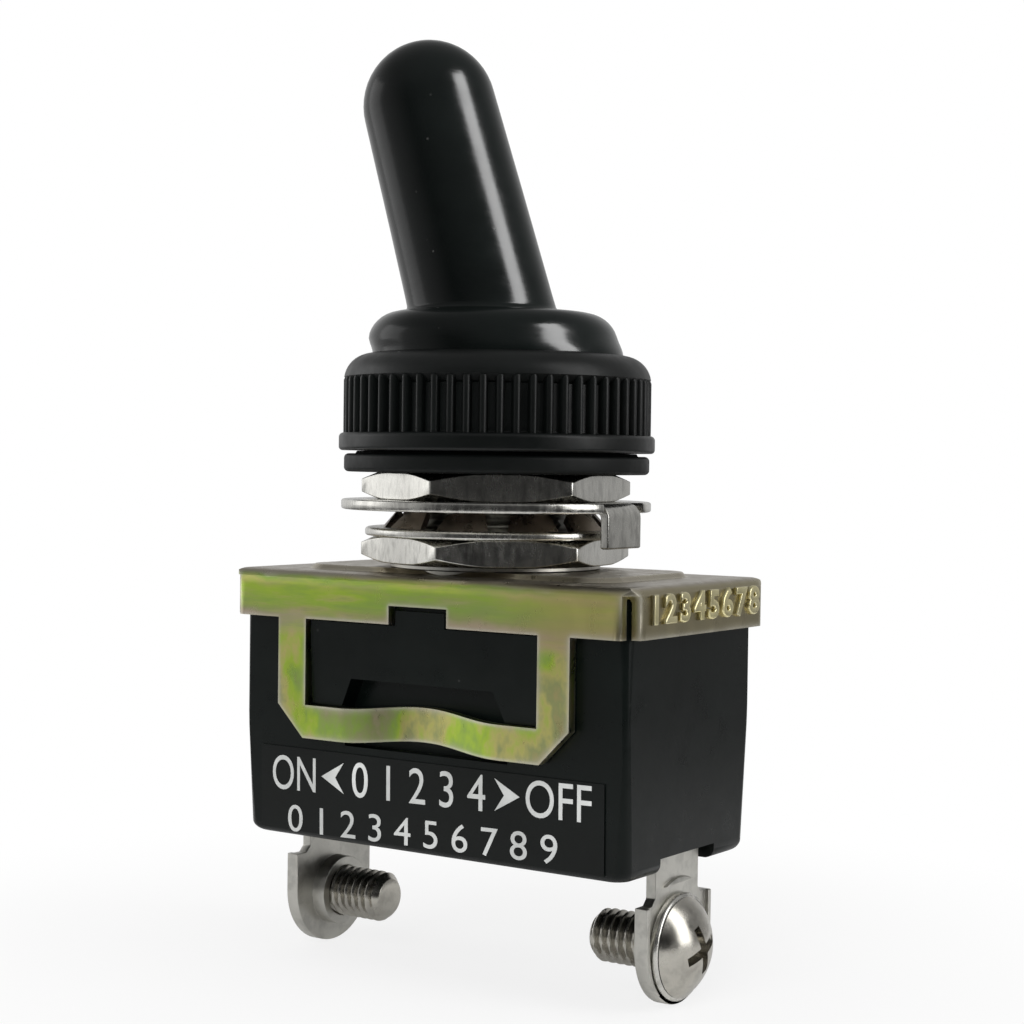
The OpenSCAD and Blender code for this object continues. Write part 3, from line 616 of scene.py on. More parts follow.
@dataclass(frozen=True)
class Chromate:
    """Yellow chromate over zinc, with its green, tan and pink bands; its pale edges and the pale line at the top bend
    are painted highlights.

    The spans are heights or lengths in metres over which one look gives way to the next.
    """

    name: str = "zinc_chromate"
    lime: Colour = (0.50, 0.68, 0.09)
    green: Colour = (0.38, 0.55, 0.12)
    olive: Colour = (0.42, 0.45, 0.20)
    yellow: Colour = (0.66, 0.62, 0.22)
    tan: Colour = (0.60, 0.46, 0.22)
    pink: Colour = (0.60, 0.47, 0.36)
    # edge paints the highlight on rounded edges and along the top bend; beige paints a softer, wider highlight near
    # edges.
    edge: Colour = (0.82, 0.78, 0.66)
    beige: Colour = (0.62, 0.58, 0.44)
    end_brown: Colour = (0.34, 0.30, 0.19)
    top_brown: Colour = (0.40, 0.36, 0.29)
    edge_width: float = 0.45
    strap: Span = (-0.0046, -0.0034)
    flange: Span = (-0.0032, 0.0002)
    top: Span = (-0.0005, -0.0001)
    warm_end: Span = (0.0045, 0.0125)
    end: Span = (0.0154, 0.0158)

    def material(self) -> bpy.types.Material:
        """Build the material.

        Returns:
            The material.
        """
        shade = Shade(self.name, Metallic=1.0)
        x, z = shade.axis("X"), shade.axis("Z")
        below = shade.fade(z, self.strap, (1, 0))
        above = shade.math("SUBTRACT", 1.0, below)
        along = shade.noise(75, 75, 620, detail=6, rough=0.62)
        upright = shade.noise(210, 210, 130, detail=5, rough=0.58)
        drift = shade.math("ADD", shade.times(along, above), shade.times(upright, below))
        patch = shade.ramp(drift, [(0.30, self.pink), (0.38, self.olive), (0.45, self.green), (0.51, self.lime),
                                   (0.57, self.yellow), (0.63, self.olive), (0.72, self.tan)])
        wander = shade.times(shade.math("SUBTRACT", shade.noise(170, 170, 90, detail=4), 0.5), 0.0024)
        level = shade.remap(shade.math("ADD", z, wander), self.flange)
        # The edge stop near the top of the band is a painted highlight along the flange's top bend.
        band = shade.ramp(level, [(0.03, self.pink), (0.16, self.olive), (0.36, self.green), (0.56, self.lime),
                                  (0.70, self.yellow), (0.80, self.green), (0.90, self.edge), (0.97, self.tan)])
        blotch = shade.remap(shade.noise(60, 60, 300, detail=5), (0.40, 0.60), (0.1, 0.75))
        colour = shade.mix(below, shade.mix(blotch, band, patch), patch)
        warm = shade.times(shade.fade(shade.math("ADD", x, wander), self.warm_end, (0, 0.6)), above)
        over = shade.fade(z, self.top)
        end = shade.fade(shade.math("ABSOLUTE", x), self.end)
        # Beige near edges and the paler edge colour on them are painted highlights of the rounded edges, broken up in
        # patches.
        soft_edge_highlight_patches = shade.remap(shade.noise(160, 160, 220, detail=4), (0.35, 0.6), (0.1, 0.75))
        edge_highlight_patches = shade.remap(shade.noise(300), (0.3, 0.6), (0.45, 0.95))
        for share, cover in ((warm, self.tan), (over, self.top_brown), (end, self.end_brown),
                             (shade.times(shade.edges(1.0), soft_edge_highlight_patches), self.beige),
                             (shade.times(shade.edges(self.edge_width), edge_highlight_patches), self.edge)):
            colour = shade.mix(share, colour, cover)
        streak = shade.noise(900, 900, 420, detail=5, rough=0.6)
        return shade.coat(colour, streak, (0.24, 0.42), streak, 0.006)


class Finishes:
    """All the materials, by name."""

    def __init__(self) -> None:
        """Build every material once."""
        recipes = (
            Plastic("black_moulding", (0.0020, 0.0034, 0.0029), (0.26, 0.38), 0.003, dust=0.2, specular=0.2),
            Chromate(),
            Plastic("fibre_board", (0.24, 0.11, 0.05), (0.6, 0.8), 0.02, 1800),
            Plastic("label_film", (0.0026, 0.0036, 0.0032), (0.30, 0.42), 0.002, specular=0.22),
            # The raised numbers' end colour is a bright gold that paints their glints.
            Chromate("raised_chromate", end_brown=(0.95, 0.86, 0.45), edge_width=0.05),
            Metal("nickel_steel", (0.64, 0.63, 0.59), (0.16, 0.32), 0.010, (1900, 1900, 620), 0.42),
            # A darker brown copy of the washer's steel, which paints the shade on the lock washer's teeth.
            Metal("spring_washer", (0.34, 0.29, 0.25), (0.22, 0.36), 0.006),
            Metal("nickel_brass", (0.56, 0.55, 0.51), (0.30, 0.44), 0.006),
            Metal("screw_steel", (0.52, 0.50, 0.45), (0.16, 0.30), 0.006),
            Plastic("boot_rubber", (0.0022, 0.0030, 0.0028), (0.15, 0.22), 0.007, 900, (1, 1, 5), 0.45, 0.2),
            Plastic("disc_rubber", (0.0022, 0.003, 0.0028), (0.45, 0.6), specular=0.25),
            Plastic("ring_plastic", (0.0024, 0.0032, 0.0030), (0.34, 0.46), 0.007, dust=0.35, specular=0.34),
            Metal("lever_metal", (0.72, 0.71, 0.69), (0.15, 0.25), 0.003),
            Metal("spring_steel", (0.42, 0.42, 0.41), (0.3, 0.4), 0.003),
            Plastic("plunger_plastic", (0.72, 0.68, 0.56), (0.35, 0.5)),
            Metal("copper_alloy", (0.72, 0.40, 0.20), (0.28, 0.42), 0.005),
            Metal("contact_silver", (0.86, 0.85, 0.82), (0.22, 0.34), 0.004),
            Plastic("print_ink", (0.50, 0.51, 0.50), (0.45, 0.6), 0.002),
        )
        self.by_name = {recipe.name: recipe.material() for recipe in recipes}

    def __getitem__(self, name: str) -> bpy.types.Material:
        """Return the material of that name."""
        return self.by_name[name]


class Bench:
    """Where finished pieces are coated, tied to a body and reported."""

    def __init__(self, finishes: Finishes) -> None:
        """Keep the finishes."""
        self.finishes = finishes

    def fit(self, piece: Piece, finish: str, nodes: Sequence[str] = ()) -> None:
        """Coat a piece, tie it to the root and let it stand for CAD nodes.

        Args:
            piece: the finished piece.
            finish: name of its material.
            nodes: CAD nodes that it stands for.
        """
        piece.data.materials.clear()
        piece.data.materials.append(self.finishes[finish])
        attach(piece, Body.ROOT.value)
        if nodes:
            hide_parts(*nodes)
        log.info("%s: %d faces, %s", piece.name, len(piece.data.polygons), finish)

    def coat_nodes(self, finish: str, *nodes: str) -> None:
        """Give CAD nodes their material.

        Args:
            finish: name of the material.
            nodes: names of the CAD nodes.
        """
        for node in nodes:
            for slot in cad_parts[node].material_slots:
                slot.material = self.finishes[finish]
            log.info("%s: %s", node, finish)


# ---- sub-assemblies ----


@dataclass
class Thread:
    """A screw thread with flattened crests and roots."""

    pitch: float
    major: float
    minor: float
    root_share: float = 0.14
    flank_share: float = 0.68

    def radius(self, turn: float, z: float) -> float:
        """Return the thread's radius.

        Args:
            turn: turn about the axis in radians.
            z: height.

        Returns:
            The radius.
        """
        phase = (z / self.pitch - turn / TAU) % 1
        rise = (1 - abs(2 * phase - 1) - self.root_share) / self.flank_share
        return self.minor + (self.major - self.minor) * min(1.0, max(0.0, rise))

    def rings(self, limits: Sequence[Span], steps: int) -> list[Ring]:
        """Return threaded rings.

        Args:
            limits: largest radius and height of each ring.
            steps: points in each ring.

        Returns:
            The rings, cut by the thread.
        """
        turns = [TAU * k / steps for k in range(steps)]
        return [[polar(min(limit, self.radius(turn, z)), turn, z) for turn in turns] for limit, z in limits]


@dataclass
class Housing:
    """Moulded body with its label and print."""

    edge: float = 0.25
    half_l: float = 15.27
    half_w: float = 7.82
    corner: float = 0.9
    floor_round: float = 0.7
    film: float = 0.1
    draft: float = 0.25
    trim: float = 0.01
    slope_top: float = -1.05
    slope_low: float = -17.9
    boss_low: float = -3.0
    boss_room: float = 0.6
    ink_top: float = 0.016
    ink_root: float = -0.02
    print_tilt: float = 0.018

    def build(self, bench: Bench) -> None:
        """Make the body, its label and the print.

        Args:
            bench: where the pieces are finished.
        """
        body = rounded_copy("housing", "moulded_body", self.edge, within=self.block())
        bench.fit(body, "black_moulding", nodes=["housing"])
        bench.coat_nodes("label_film", "rating_label")
        bench.fit(self.print_marks(), "print_ink")

    def block(self) -> Piece:
        """Make the block that the body is trimmed to, with its floor's edge rounded.

        Returns:
            The block as a closed mesh.
        """
        above, spare, wide = 4.0, 0.03, 0.5
        levels = [(above, -wide), (self.slope_top, -spare)]
        levels += [(self.slope_low + self.floor_round - s, self.draft - self.trim + self.floor_round - c)
                   for c, s in quarter(self.floor_round, 8)]
        rings = []
        for z, inset in levels:
            x, y = self.half_l - inset, self.half_w - inset + (self.boss_room if z > self.boss_low else 0)
            corners = [(i * x, j * y, self.corner) for i, j in ((1, 1), (-1, 1), (-1, -1), (1, -1))]
            rings.append([Vector((*point, z)) for point in rounded(corners, steps=6)])
        return new_piece("block", capped(rings))

    def face_y(self, z: float) -> float:
        """Return the label's outer face at a height."""
        fall = self.draft * (self.slope_top - z) / (self.slope_top - self.slope_low)
        return -(self.half_w + self.film - fall)

    def print_marks(self) -> Piece:
        """Make the white print: the two words, the pointers and two rows of numbers.

        Returns:
            The print as one piece.
        """
        row, height = -14.6, 2.32
        low_row, low_height = -17.35, 1.8
        piece = joined("label_print", [
            lettering("ON", (-12.65, row), (3.75, height)),
            lettering("0 1 2 3 4", (-5.8, row), (10.7, height)),
            lettering("OFF", (7.95, row), (4.8, height)),
            self.pointer(-8.4, row + height / 2, 1.9),
            self.pointer(7.5, row + height / 2, -1.9),
            lettering("0 1 2 3 4 5 6 7 8 9", (-11.3, low_row), (21.6, low_height)),
        ])
        for vertex in piece.data.vertices:
            x, z, rise = vertex.co / MM
            z += self.print_tilt * x
            vertex.co = Vector((x, self.face_y(z) - (self.ink_top if rise > 0 else self.ink_root), z)) * MM
        tidy_faces(piece.data)
        return piece

    def pointer(self, tip_x: float, z: float, length: float) -> Piece:
        """Make a swallow-tailed pointer.

        Args:
            tip_x: place of its tip.
            z: height of its middle.
            length: its length, negative where it points to +X.

        Returns:
            The pointer, as a flat plate in the XY plane.
        """
        half, notch, thickness = 1.02, 0.62, 0.01
        outline = [(0, 0), (length, -half), (notch * length, 0), (length, half)]
        return new_piece("pointer", capped([[Vector((tip_x + x, z + y, side)) for x, y in outline]
                                            for side in (0, thickness)]))


def lettering(text: str, corner: Span, size: Span, depth: float = 0.01, soft: float = 0.0,
              spread: float = 1.0) -> Piece:
    """Make a word as a mesh that fills a rectangle.

    Args:
        text: the word.
        corner: left end and foot of the rectangle in millimetres.
        size: its width and height in millimetres.
        depth: thickness of the letters in millimetres.
        soft: rounding of their edges, as a share of the type's size.
        spread: spacing of the letters.

    Returns:
        The word in the XY plane, with its thickness along Z.
    """
    curve = bpy.data.curves.new("word", "FONT")
    curve.body = text
    curve.resolution_u = 6
    curve.extrude = 0.04
    curve.space_character = spread
    curve.bevel_depth = soft
    curve.bevel_resolution = 2
    holder = in_scene("word", curve)
    graph = bpy.context.evaluated_depsgraph_get()
    mesh = bpy.data.meshes.new_from_object(holder.evaluated_get(graph))
    bpy.data.objects.remove(holder)
    low, high = (Vector([pick(v.co[i] for v in mesh.vertices) for i in range(3)]) for pick in (min, max))
    wide, tall, thick = high - low
    for vertex in mesh.vertices:
        x, y, z = vertex.co - low
        vertex.co = Vector((corner[0] + x / wide * size[0], corner[1] + y / tall * size[1], z / thick * depth)) * MM
    return in_scene("word", mesh)


@dataclass
class Bracket:
    """Pressed bracket with the strap loops and a row of raised numbers."""

    edge: float = 0.16
    end_x: float = 16.0
    raised: float = 0.24
    sunk: float = 0.1
    numbers: str = "12345678"

    def build(self, bench: Bench) -> None:
        """Make the bracket and the raised numbers on its end.

        Args:
            bench: where the pieces are finished.
        """
        bench.fit(rounded_copy("bracket", "pressed_bracket", self.edge, segments=3), "zinc_chromate",
                  nodes=["bracket"])
        row = lettering(self.numbers, (-6.5, -2.35), (13.4, 1.95), self.raised + self.sunk, soft=0.05, spread=1.3)
        moved(row, Matrix(((0, 0, 1, self.end_x - self.sunk), (1, 0, 0, 0), (0, 1, 0, 0), (0, 0, 0, 1))))
        row.name = "raised_numbers"
        tidy_faces(row.data)
        set_smooth(row.data, 50)
        # The raised numbers take a bright gold finish that paints their glints.
        bench.fit(row, "raised_chromate")


@dataclass
class Bushing:
    """Threaded bushing with its keyway and collar."""

    top: float = 13.4
    crest_r: float = 5.95
    root_r: float = 5.42
    pitch: float = 0.95
    bore_r: float = 5.6
    neck: Span = (-0.7, 0.3)
    collar_r: float = 7.0
    collar_top: float = 0.65
    thread_low: float = 0.7
    mouth_r: float = 3.2
    seat_r: float = 3.9
    seat: Span = (8.0, 12.85)
    keyway_half: float = 0.8
    keyway_floor: float = 5.45
    steps: int = 144

    def build(self, bench: Bench) -> None:
        """Make the bushing.

        Args:
            bench: where the pieces are finished.
        """
        edge, stop, lead = 0.1, 0.05, 0.55
        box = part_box("bushing")
        stake_z, stake_r = box[0][2] / MM, box[1][1] / MM
        bevel_r, bevel_h = 0.12, 0.08
        rings = level_rings([
            (self.bore_r, stake_z), (stake_r - edge, stake_z), (stake_r, stake_z + edge), (stake_r, self.neck[0]),
            (self.crest_r, self.neck[0]), (self.crest_r, self.neck[1]), (self.collar_r - bevel_r, self.neck[1]),
            (self.collar_r, self.neck[1] + bevel_h), (self.collar_r, self.collar_top - bevel_h),
            (self.collar_r - bevel_r, self.collar_top), (self.root_r, self.collar_top)], self.steps)
        length = self.top - stop - self.thread_low
        count = round((length + stop) / self.pitch * 9)
        limits = []
        for i in range(count + 1):
            z = self.thread_low + length * i / count
            limits.append((min(self.crest_r, self.top - lead - z + self.crest_r,
                               self.root_r + (z - self.thread_low) * 2), z))
        rings += Thread(self.pitch, self.crest_r, self.root_r).rings(limits, self.steps)
        rings += level_rings([
            (5.3, self.top), (self.mouth_r + stop, self.top), (self.mouth_r, self.top - stop),
            (self.mouth_r, self.seat[1] + stop), (self.seat_r, self.seat[1]), (self.seat_r, self.seat[0])], self.steps)
        for point in (point for ring in rings for point in ring):
            if point.x > self.keyway_floor and abs(point.y) < self.keyway_half and point.z > self.collar_top + 0.01:
                point.x = self.keyway_floor
        piece = new_piece("threaded_bushing", skin(rings, closed=True), smooth=55)
        bench.fit(settle(piece), "nickel_brass", nodes=["bushing"])


@dataclass
class HexNut:
    """Thin hex nut, chamfered at the corners on both faces."""

    name: str
    node: str
    z: float
    height: float
    turn: float
    corner_r: float = 9.0
    corner_soft: float = 0.3
    chamfer: float = 0.5
    hole_r: float = 6.0

    def build(self, bench: Bench) -> None:
        """Make the nut.

        Args:
            bench: where the pieces are finished.
        """
        lead, lead_soft, face_soft, edge_soft, least_fall = 0.25, 0.05, 0.2, 0.08, 0.04
        face_r = self.corner_r * math.cos(math.pi / 6) + 0.05
        slope = self.chamfer / (self.corner_r - face_r)
        first = math.radians(self.turn)
        soft = rounded([(*polar(self.corner_r, TAU * k / 6 + first).xy, self.corner_soft) for k in range(6)], 5)
        columns: list[Ring] = []
        for point, after in zip(soft, soft[1:] + soft[:1]):
            start, end = Vector(point), Vector(after)
            parts = 10 if (end - start).length > 2 else 1
            for flat in (start.lerp(end, t / parts) for t in range(parts)):
                edge_r = flat.length
                fall = max(least_fall, slope * (edge_r - face_r))
                inner_r = min(face_r, edge_r - 0.1)
                low = [(self.hole_r, lead, 0), (self.hole_r + lead, 0, lead_soft), (inner_r, 0, face_soft),
                       (edge_r, fall, edge_soft)]
                section = rounded(low + [(r, self.height - h, round_r) for r, h, round_r in low[::-1]], steps=3)
                columns.append([Vector((*flat / edge_r * r, self.z + h)) for r, h in section])
        piece = new_piece(self.name, skin(list(zip(*columns)), closed=True), smooth=30)
        bench.fit(settle(piece), "nickel_steel", nodes=[self.node])


@dataclass
class LockWasher:
    """Washer with ten teeth bent up from the inner edge of its rim."""

    z: float = 2.4
    rim_r: float = 8.7
    rim_in: float = 7.5
    sheet: float = 0.55
    height: float = 1.7
    tooth_in: float = 6.25
    teeth: int = 10
    twist: float = 0.14

    def build(self, bench: Bench, copies: RingOfCopies) -> None:
        """Make the rim and its teeth.

        Args:
            bench: where the pieces are finished.
            copies: the tree that repeats one piece.
        """
        top = self.z + self.sheet
        rim = turned("lock_washer_rim", rounded([(self.rim_in - 0.2, self.z, 0.08), (self.rim_r, self.z, 0.16),
                                                 (self.rim_r, top, 0.22), (self.rim_in - 0.1, top, 0.08)]), 128)
        bench.fit(settle(rim), "nickel_steel", nodes=["lock_washer"])
        # The teeth take a darker brown copy of the rim's steel, which paints their shade.
        tooth = copies.apply(self.tooth(), self.teeth, bench.finishes["spring_washer"])
        bench.fit(tooth, "spring_washer")

    def tooth(self) -> Piece:
        """Make one tooth at +X, as a bent tongue with a slight twist.

        Returns:
            The tooth as a closed mesh.
        """
        half = TAU / self.teeth * 0.33
        foot_share, tip_share, stations = 1.12, 0.92, 3
        foot = [(self.rim_in - 0.12, self.z + 0.04), (self.rim_in + 0.05, self.z + self.sheet - 0.03)]
        tip = [(self.tooth_in + 0.25, self.z + self.height), (self.tooth_in, self.z + self.height - 0.5)]
        rings = []
        for share in (k / stations for k in range(-stations, stations + 1)):
            rings.append([polar(r, half * share * foot_share, z) for r, z in foot]
                         + [polar(r, half * share * tip_share, z + self.twist * share) for r, z in tip])
        return new_piece("tooth", capped(rings), smooth=25)


@dataclass
class BootNut:
    """Ribbed plastic nut that clamps the boot."""

    z: float = 7.98
    height: float = 6.4
    lip_r: float = 10.5
    lip_h: float = 1.15
    rib_r: float = 10.2
    rib_half_w: float = 0.29
    groove_r: float = 9.72
    shoulder: float = 1.78
    hole_r: float = 6.0
    opening_r: float = 8.4
    room_r: float = 8.9
    room: Span = (2.4, 1.5)
    ribs: int = 60

    def build(self, bench: Bench, copies: RingOfCopies) -> None:
        """Make the nut's core and its ribs.

        Args:
            bench: where the pieces are finished.
            copies: the tree that repeats one piece.
        """
        top = self.z + self.height
        lip_top = self.z + self.lip_h
        rib_top = top - self.shoulder
        floor, ceiling = self.z + self.room[0], top - self.room[1]
        outline = rounded([
            (self.hole_r, self.z, 0.1), (self.lip_r, self.z, 0.25), (self.lip_r, lip_top, 0.3),
            (self.groove_r, lip_top + 0.05, 0.1), (self.groove_r, rib_top - 0.12, 0.1)], steps=6)
        outline += [(self.rib_r - self.shoulder + c, rib_top + s) for c, s in quarter(self.shoulder, 12)[1:]]
        outline += [(self.opening_r + 0.2, top), (self.opening_r + 0.06, top - 0.06), (self.opening_r, top - 0.2),
                    (self.opening_r, ceiling), (self.room_r, ceiling), (self.room_r, floor), (self.hole_r, floor)]
        core = turned("boot_nut_core", outline, steps=180)
        rib = copies.apply(self.rib(lip_top - 0.1, rib_top + 0.35), self.ribs, bench.finishes["ring_plastic"])
        bench.fit(joined("ribbed_boot_nut", [settle(core), rib]), "ring_plastic", nodes=["boot_nut"])

    def rib(self, low: float, high: float) -> Piece:
        """Make one half-round rib at +X.

        Args:
            low: height of its foot.
            high: height of its top.

        Returns:
            The rib as a closed mesh.
        """
        sunk, fullness = 0.1, 0.8
        base = self.groove_r - sunk
        reach = self.rib_r + 0.02 - self.groove_r
        rings: list[Ring] = []
        for z, size in ((low, 1), (high - 0.35, 1), (high - 0.12, 0.82), (high, 0.4)):
            ring = [Vector((base, self.rib_half_w, z)), Vector((base, -self.rib_half_w, z))]
            for angle in (math.pi * (k / 6 - 0.5) for k in range(7)):
                ring.append(Vector((self.groove_r + reach * size * math.cos(angle) ** fullness,
                                    self.rib_half_w * math.sin(angle), z)))
            rings.append(ring)
        return new_piece("rib", capped(rings), smooth=70)


@dataclass
class Boot:
    """Rubber boot: a clamped flange, a low dome and a leaning sleeve."""

    flange_r: float = 8.8
    flange_low: float = 10.43
    flange_top: float = 12.83
    bore_r: float = 6.4
    bore_top: float = 13.8
    dome_r: float = 8.33
    dome_low: float = 14.3
    dome_top: float = 17.2
    dome_round: float = 2.1
    dome_shift: float = -0.42
    root_z: float = 13.4
    lean: float = 18.3
    base_r: float = 4.9
    tip_r: float = 4.5
    top: float = 35.85
    wall: float = 1.0
    fillet: float = 0.55
    inner_start: float = 2.6
    steps: int = 96

    @property
    def sleeve_l(self) -> float:
        """Length of the sleeve's straight part."""
        return (self.top - self.tip_r - self.root_z) / math.cos(math.radians(self.lean))

    def sleeve_ring(self, along: float, radius: float, level: float) -> Ring:
        """Return a ring on the sleeve.

        Args:
            along: distance from the sleeve's root.
            radius: radius of the ring.
            level: 0 for a ring square to the sleeve, 1 for a level one.

        Returns:
            The ring's points.
        """
        lean = math.radians(self.lean)
        ahead = Vector((-math.sin(lean), 0, math.cos(lean)))
        across = Vector((math.cos(lean), 0, math.sin(lean))) - level * math.tan(lean) * ahead
        centre = Vector((0, 0, self.root_z)) + ahead * along
        return [centre + across * p.x + Vector((0, p.y, 0)) for p in circle_ring(radius, 0, self.steps)]

    def tip(self, radius: float, steps: int) -> list[Ring]:
        """Return the rings of the sleeve's round end, which ends in a pole."""
        rings = [self.sleeve_ring(self.sleeve_l + s, c, 0) for c, s in quarter(radius, steps)[1:-1]]
        return rings + [[self.sleeve_ring(self.sleeve_l + radius, 0, 0)[0]]]

    def radius_at(self, along: float) -> float:
        """Return the sleeve's outer radius at a distance from its root."""
        return self.base_r + (self.tip_r - self.base_r) * along / self.sleeve_l

    def outer_rings(self) -> list[Ring]:
        """Return the rings of the outer skin, from the flange to the tip.

        Returns:
            The rings, from the foot up.
        """
        shift_low, shift_run, ease = 14.4, 1.3, 2.2
        rings = level_rings([(self.flange_r, self.flange_low), (self.flange_r, self.flange_top),
                             (self.dome_r, self.flange_top), (self.dome_r, self.dome_low)], self.steps)
        shoulder_z = self.dome_top - self.dome_round
        dome = [(self.dome_r, self.dome_low + (shoulder_z - self.dome_low) * k / 4) for k in range(1, 5)]
        dome += [(self.dome_r - self.dome_round + c, shoulder_z + s) for c, s in quarter(self.dome_round, 10)]
        for radius, z in dome:
            share = min(1.0, max(0.0, (z - shift_low) / shift_run))
            shift = Vector((self.dome_shift * share * share * (3 - 2 * share), 0, 0))
            rings.append([point + shift for point in circle_ring(radius, z, self.steps)])
        foot = (self.dome_top - self.root_z) / math.cos(math.radians(self.lean))
        first = self.sleeve_ring(foot, self.radius_at(foot) + self.fillet, 1)
        last = rings[-1]
        rings += [[a.lerp(b, share) for a, b in zip(last, first)] for share in (0.25, 0.5, 0.75)]
        for share in (k / 6 for k in range(7)):
            extra = self.fillet * (1 - math.sqrt(max(0.0, 1 - (1 - share) ** 2)))
            rings.append(self.sleeve_ring(foot + self.fillet * share, self.radius_at(foot) + extra, 1))
        start = foot + self.fillet
        for share in (k / 24 for k in range(1, 25)):
            along = start + (self.sleeve_l - start) * share
            rings.append(self.sleeve_ring(along, self.radius_at(along), max(0.0, 1 - ease * share)))
        return rings + self.tip(self.tip_r, 14)

    def inner_rings(self) -> list[Ring]:
        """Return the rings of the inner skin, from the tip to the flange.

        Returns:
            The rings, from the top down.
        """
        rings = self.tip(self.tip_r - self.wall, 6)[::-1]
        for share in (k / 12 for k in range(12, -1, -1)):
            along = self.inner_start + (self.sleeve_l - self.inner_start) * share
            rings.append(self.sleeve_ring(along, self.radius_at(along) - self.wall, 1 - share))
        return rings + level_rings([(self.bore_r, self.bore_top), (self.bore_r, self.flange_low)], self.steps)

    def build(self, bench: Bench) -> None:
        """Make the boot.

        Args:
            bench: where the pieces are finished.
        """
        piece = new_piece(BOOT, skin(self.outer_rings() + self.inner_rings(), closed=True), smooth=60)
        piece.data.materials.append(bench.finishes["boot_rubber"])
        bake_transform(piece)
        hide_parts("boot")
        log.info("%s: %d faces", piece.name, len(piece.data.polygons))


@dataclass
class CoilSpring:
    """Coil spring that the plunger squeezes inside the lever's arm."""

    pivot_z: float = 10.5
    lean: float = 16.5
    near: float = 9.5
    length: float = 4.0
    coil_r: float = 0.83
    wire_r: float = 0.17
    turns: int = 6
    room: float = 0.05

    def build(self, bench: Bench) -> None:
        """Make the spring.

        Args:
            bench: where the pieces are finished.
        """
        per_turn, wire_steps = 24, 8
        pitch = (self.length - 2 * self.wire_r - 2 * self.room) / self.turns
        foot = self.wire_r + self.room - self.near - self.length
        wire = circle_ring(self.wire_r, 0, wire_steps)
        rings = [[polar(self.coil_r + p.x, TAU * turn, foot + pitch * turn + p.y) for p in wire]
                 for turn in (i / per_turn for i in range(per_turn * self.turns + 1))]
        place = Matrix.Translation((0, 0, self.pivot_z)) @ rotation("Y", -self.lean)
        piece = moved(new_piece("coil_spring", capped(rings), smooth=60), place)
        piece.data.materials.append(bench.finishes["spring_steel"])
        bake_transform(piece)
        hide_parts("plunger_spring")
        log.info("%s: %d faces", piece.name, len(piece.data.polygons))


@dataclass
class TerminalScrew:
    """Pan-head screw with its thread, cross recess and washer, at the +X or the -X end."""

    label: str
    turn: float
    axis_z: float = -23.0
    tip: float = 8.6
    seat: float = 14.3
    washer_t: float = 0.55
    washer_r: float = 3.4
    washer_in: float = 1.8
    shank_r: float = 1.72
    core_r: float = 1.36
    pitch: float = 0.6
    head_r: float = 3.2
    head_h: float = 1.5
    steps: int = 72

    @property
    def place(self) -> Matrix:
        """Place of a screw that was made along +Z, at its end."""
        return rotation("Z", self.turn) @ Matrix.Translation((0, 0, self.axis_z)) @ rotation("Y", 90)

    def build(self, bench: Bench) -> None:
        """Make the screw and its washer.

        Args:
            bench: where the pieces are finished.
        """
        under = self.seat + self.washer_t
        bench.fit(self.screw(), "screw_steel", nodes=[f"terminal_screw_{self.label}"])
        washer = turned(f"washer_{self.label}", rounded([
            (self.washer_in, self.seat, 0.08), (self.washer_r, self.seat, 0.1),
            (self.washer_r, under, 0.22), (self.washer_in, under, 0.08)]))
        bench.fit(settle(moved(washer, self.place)), "nickel_steel", nodes=[f"screw_washer_{self.label}"])

    def screw(self) -> Piece:
        """Make the screw.

        Returns:
            The screw, in its place.
        """
        step, lead_r, lead_slope, run_out = 0.03, 1.24, 0.95, self.seat + 0.2
        count = round((run_out - self.tip) / self.pitch * 10)
        limits = []
        for i in range(count + 1):
            z = self.tip + step + (run_out - self.tip - step) * i / count
            limits.append((min(self.shank_r, lead_r + (z - self.tip) * lead_slope), z))
        rings: list[Ring] = [[Vector((0, 0, self.tip))]]
        rings += level_rings([(0.6, self.tip), (1.2, self.tip)], self.steps)
        rings += Thread(self.pitch, self.shank_r, self.core_r).rings(limits, self.steps)
        under = self.seat + self.washer_t
        crown = (self.head_r ** 2 + self.head_h ** 2) / (2 * self.head_h)
        centre = under + self.head_h - crown
        rim_angle = math.acos(max(-1.0, min(1.0, (under - centre) / crown)))
        head = [(1.7, under), (2.9, under), (3.08, under + 0.05)]
        for angle in (rim_angle * (1 - k / 16) * 0.985 for k in range(16)):
            head.append((crown * math.sin(angle), centre + crown * math.cos(angle)))
        rings += level_rings(head, self.steps) + [[Vector((0, 0, centre + crown))]]
        piece = new_piece(f"screw_{self.label}", skin(rings, closed=False), smooth=45)
        cut_with(piece, "DIFFERENCE", self.recess_wing(20), self.recess_wing(110))
        set_smooth(piece.data, 35)
        return moved(piece, self.place)

    def recess_wing(self, turn: float) -> Piece:
        """Make one wing of the cross recess's cutter, from below to above the head's top.

        Args:
            turn: its turn about the screw's axis in degrees.

        Returns:
            The wing as a closed mesh.
        """
        half_w, wide, narrow = 0.33, 1.12, 0.86
        top = self.seat + self.washer_t + self.head_h
        side = [(-1.85, 0.5), (1.85, 0.5), (1.55, -0.4), (0.45, -1.35), (-0.45, -1.35), (-1.55, -0.4)]
        rings = [[Vector((x, y * (wide if z > 0 else narrow), top + z)) for x, z in side] for y in (-half_w, half_w)]
        return moved(new_piece("recess_wing", capped(rings)), rotation("Z", turn))


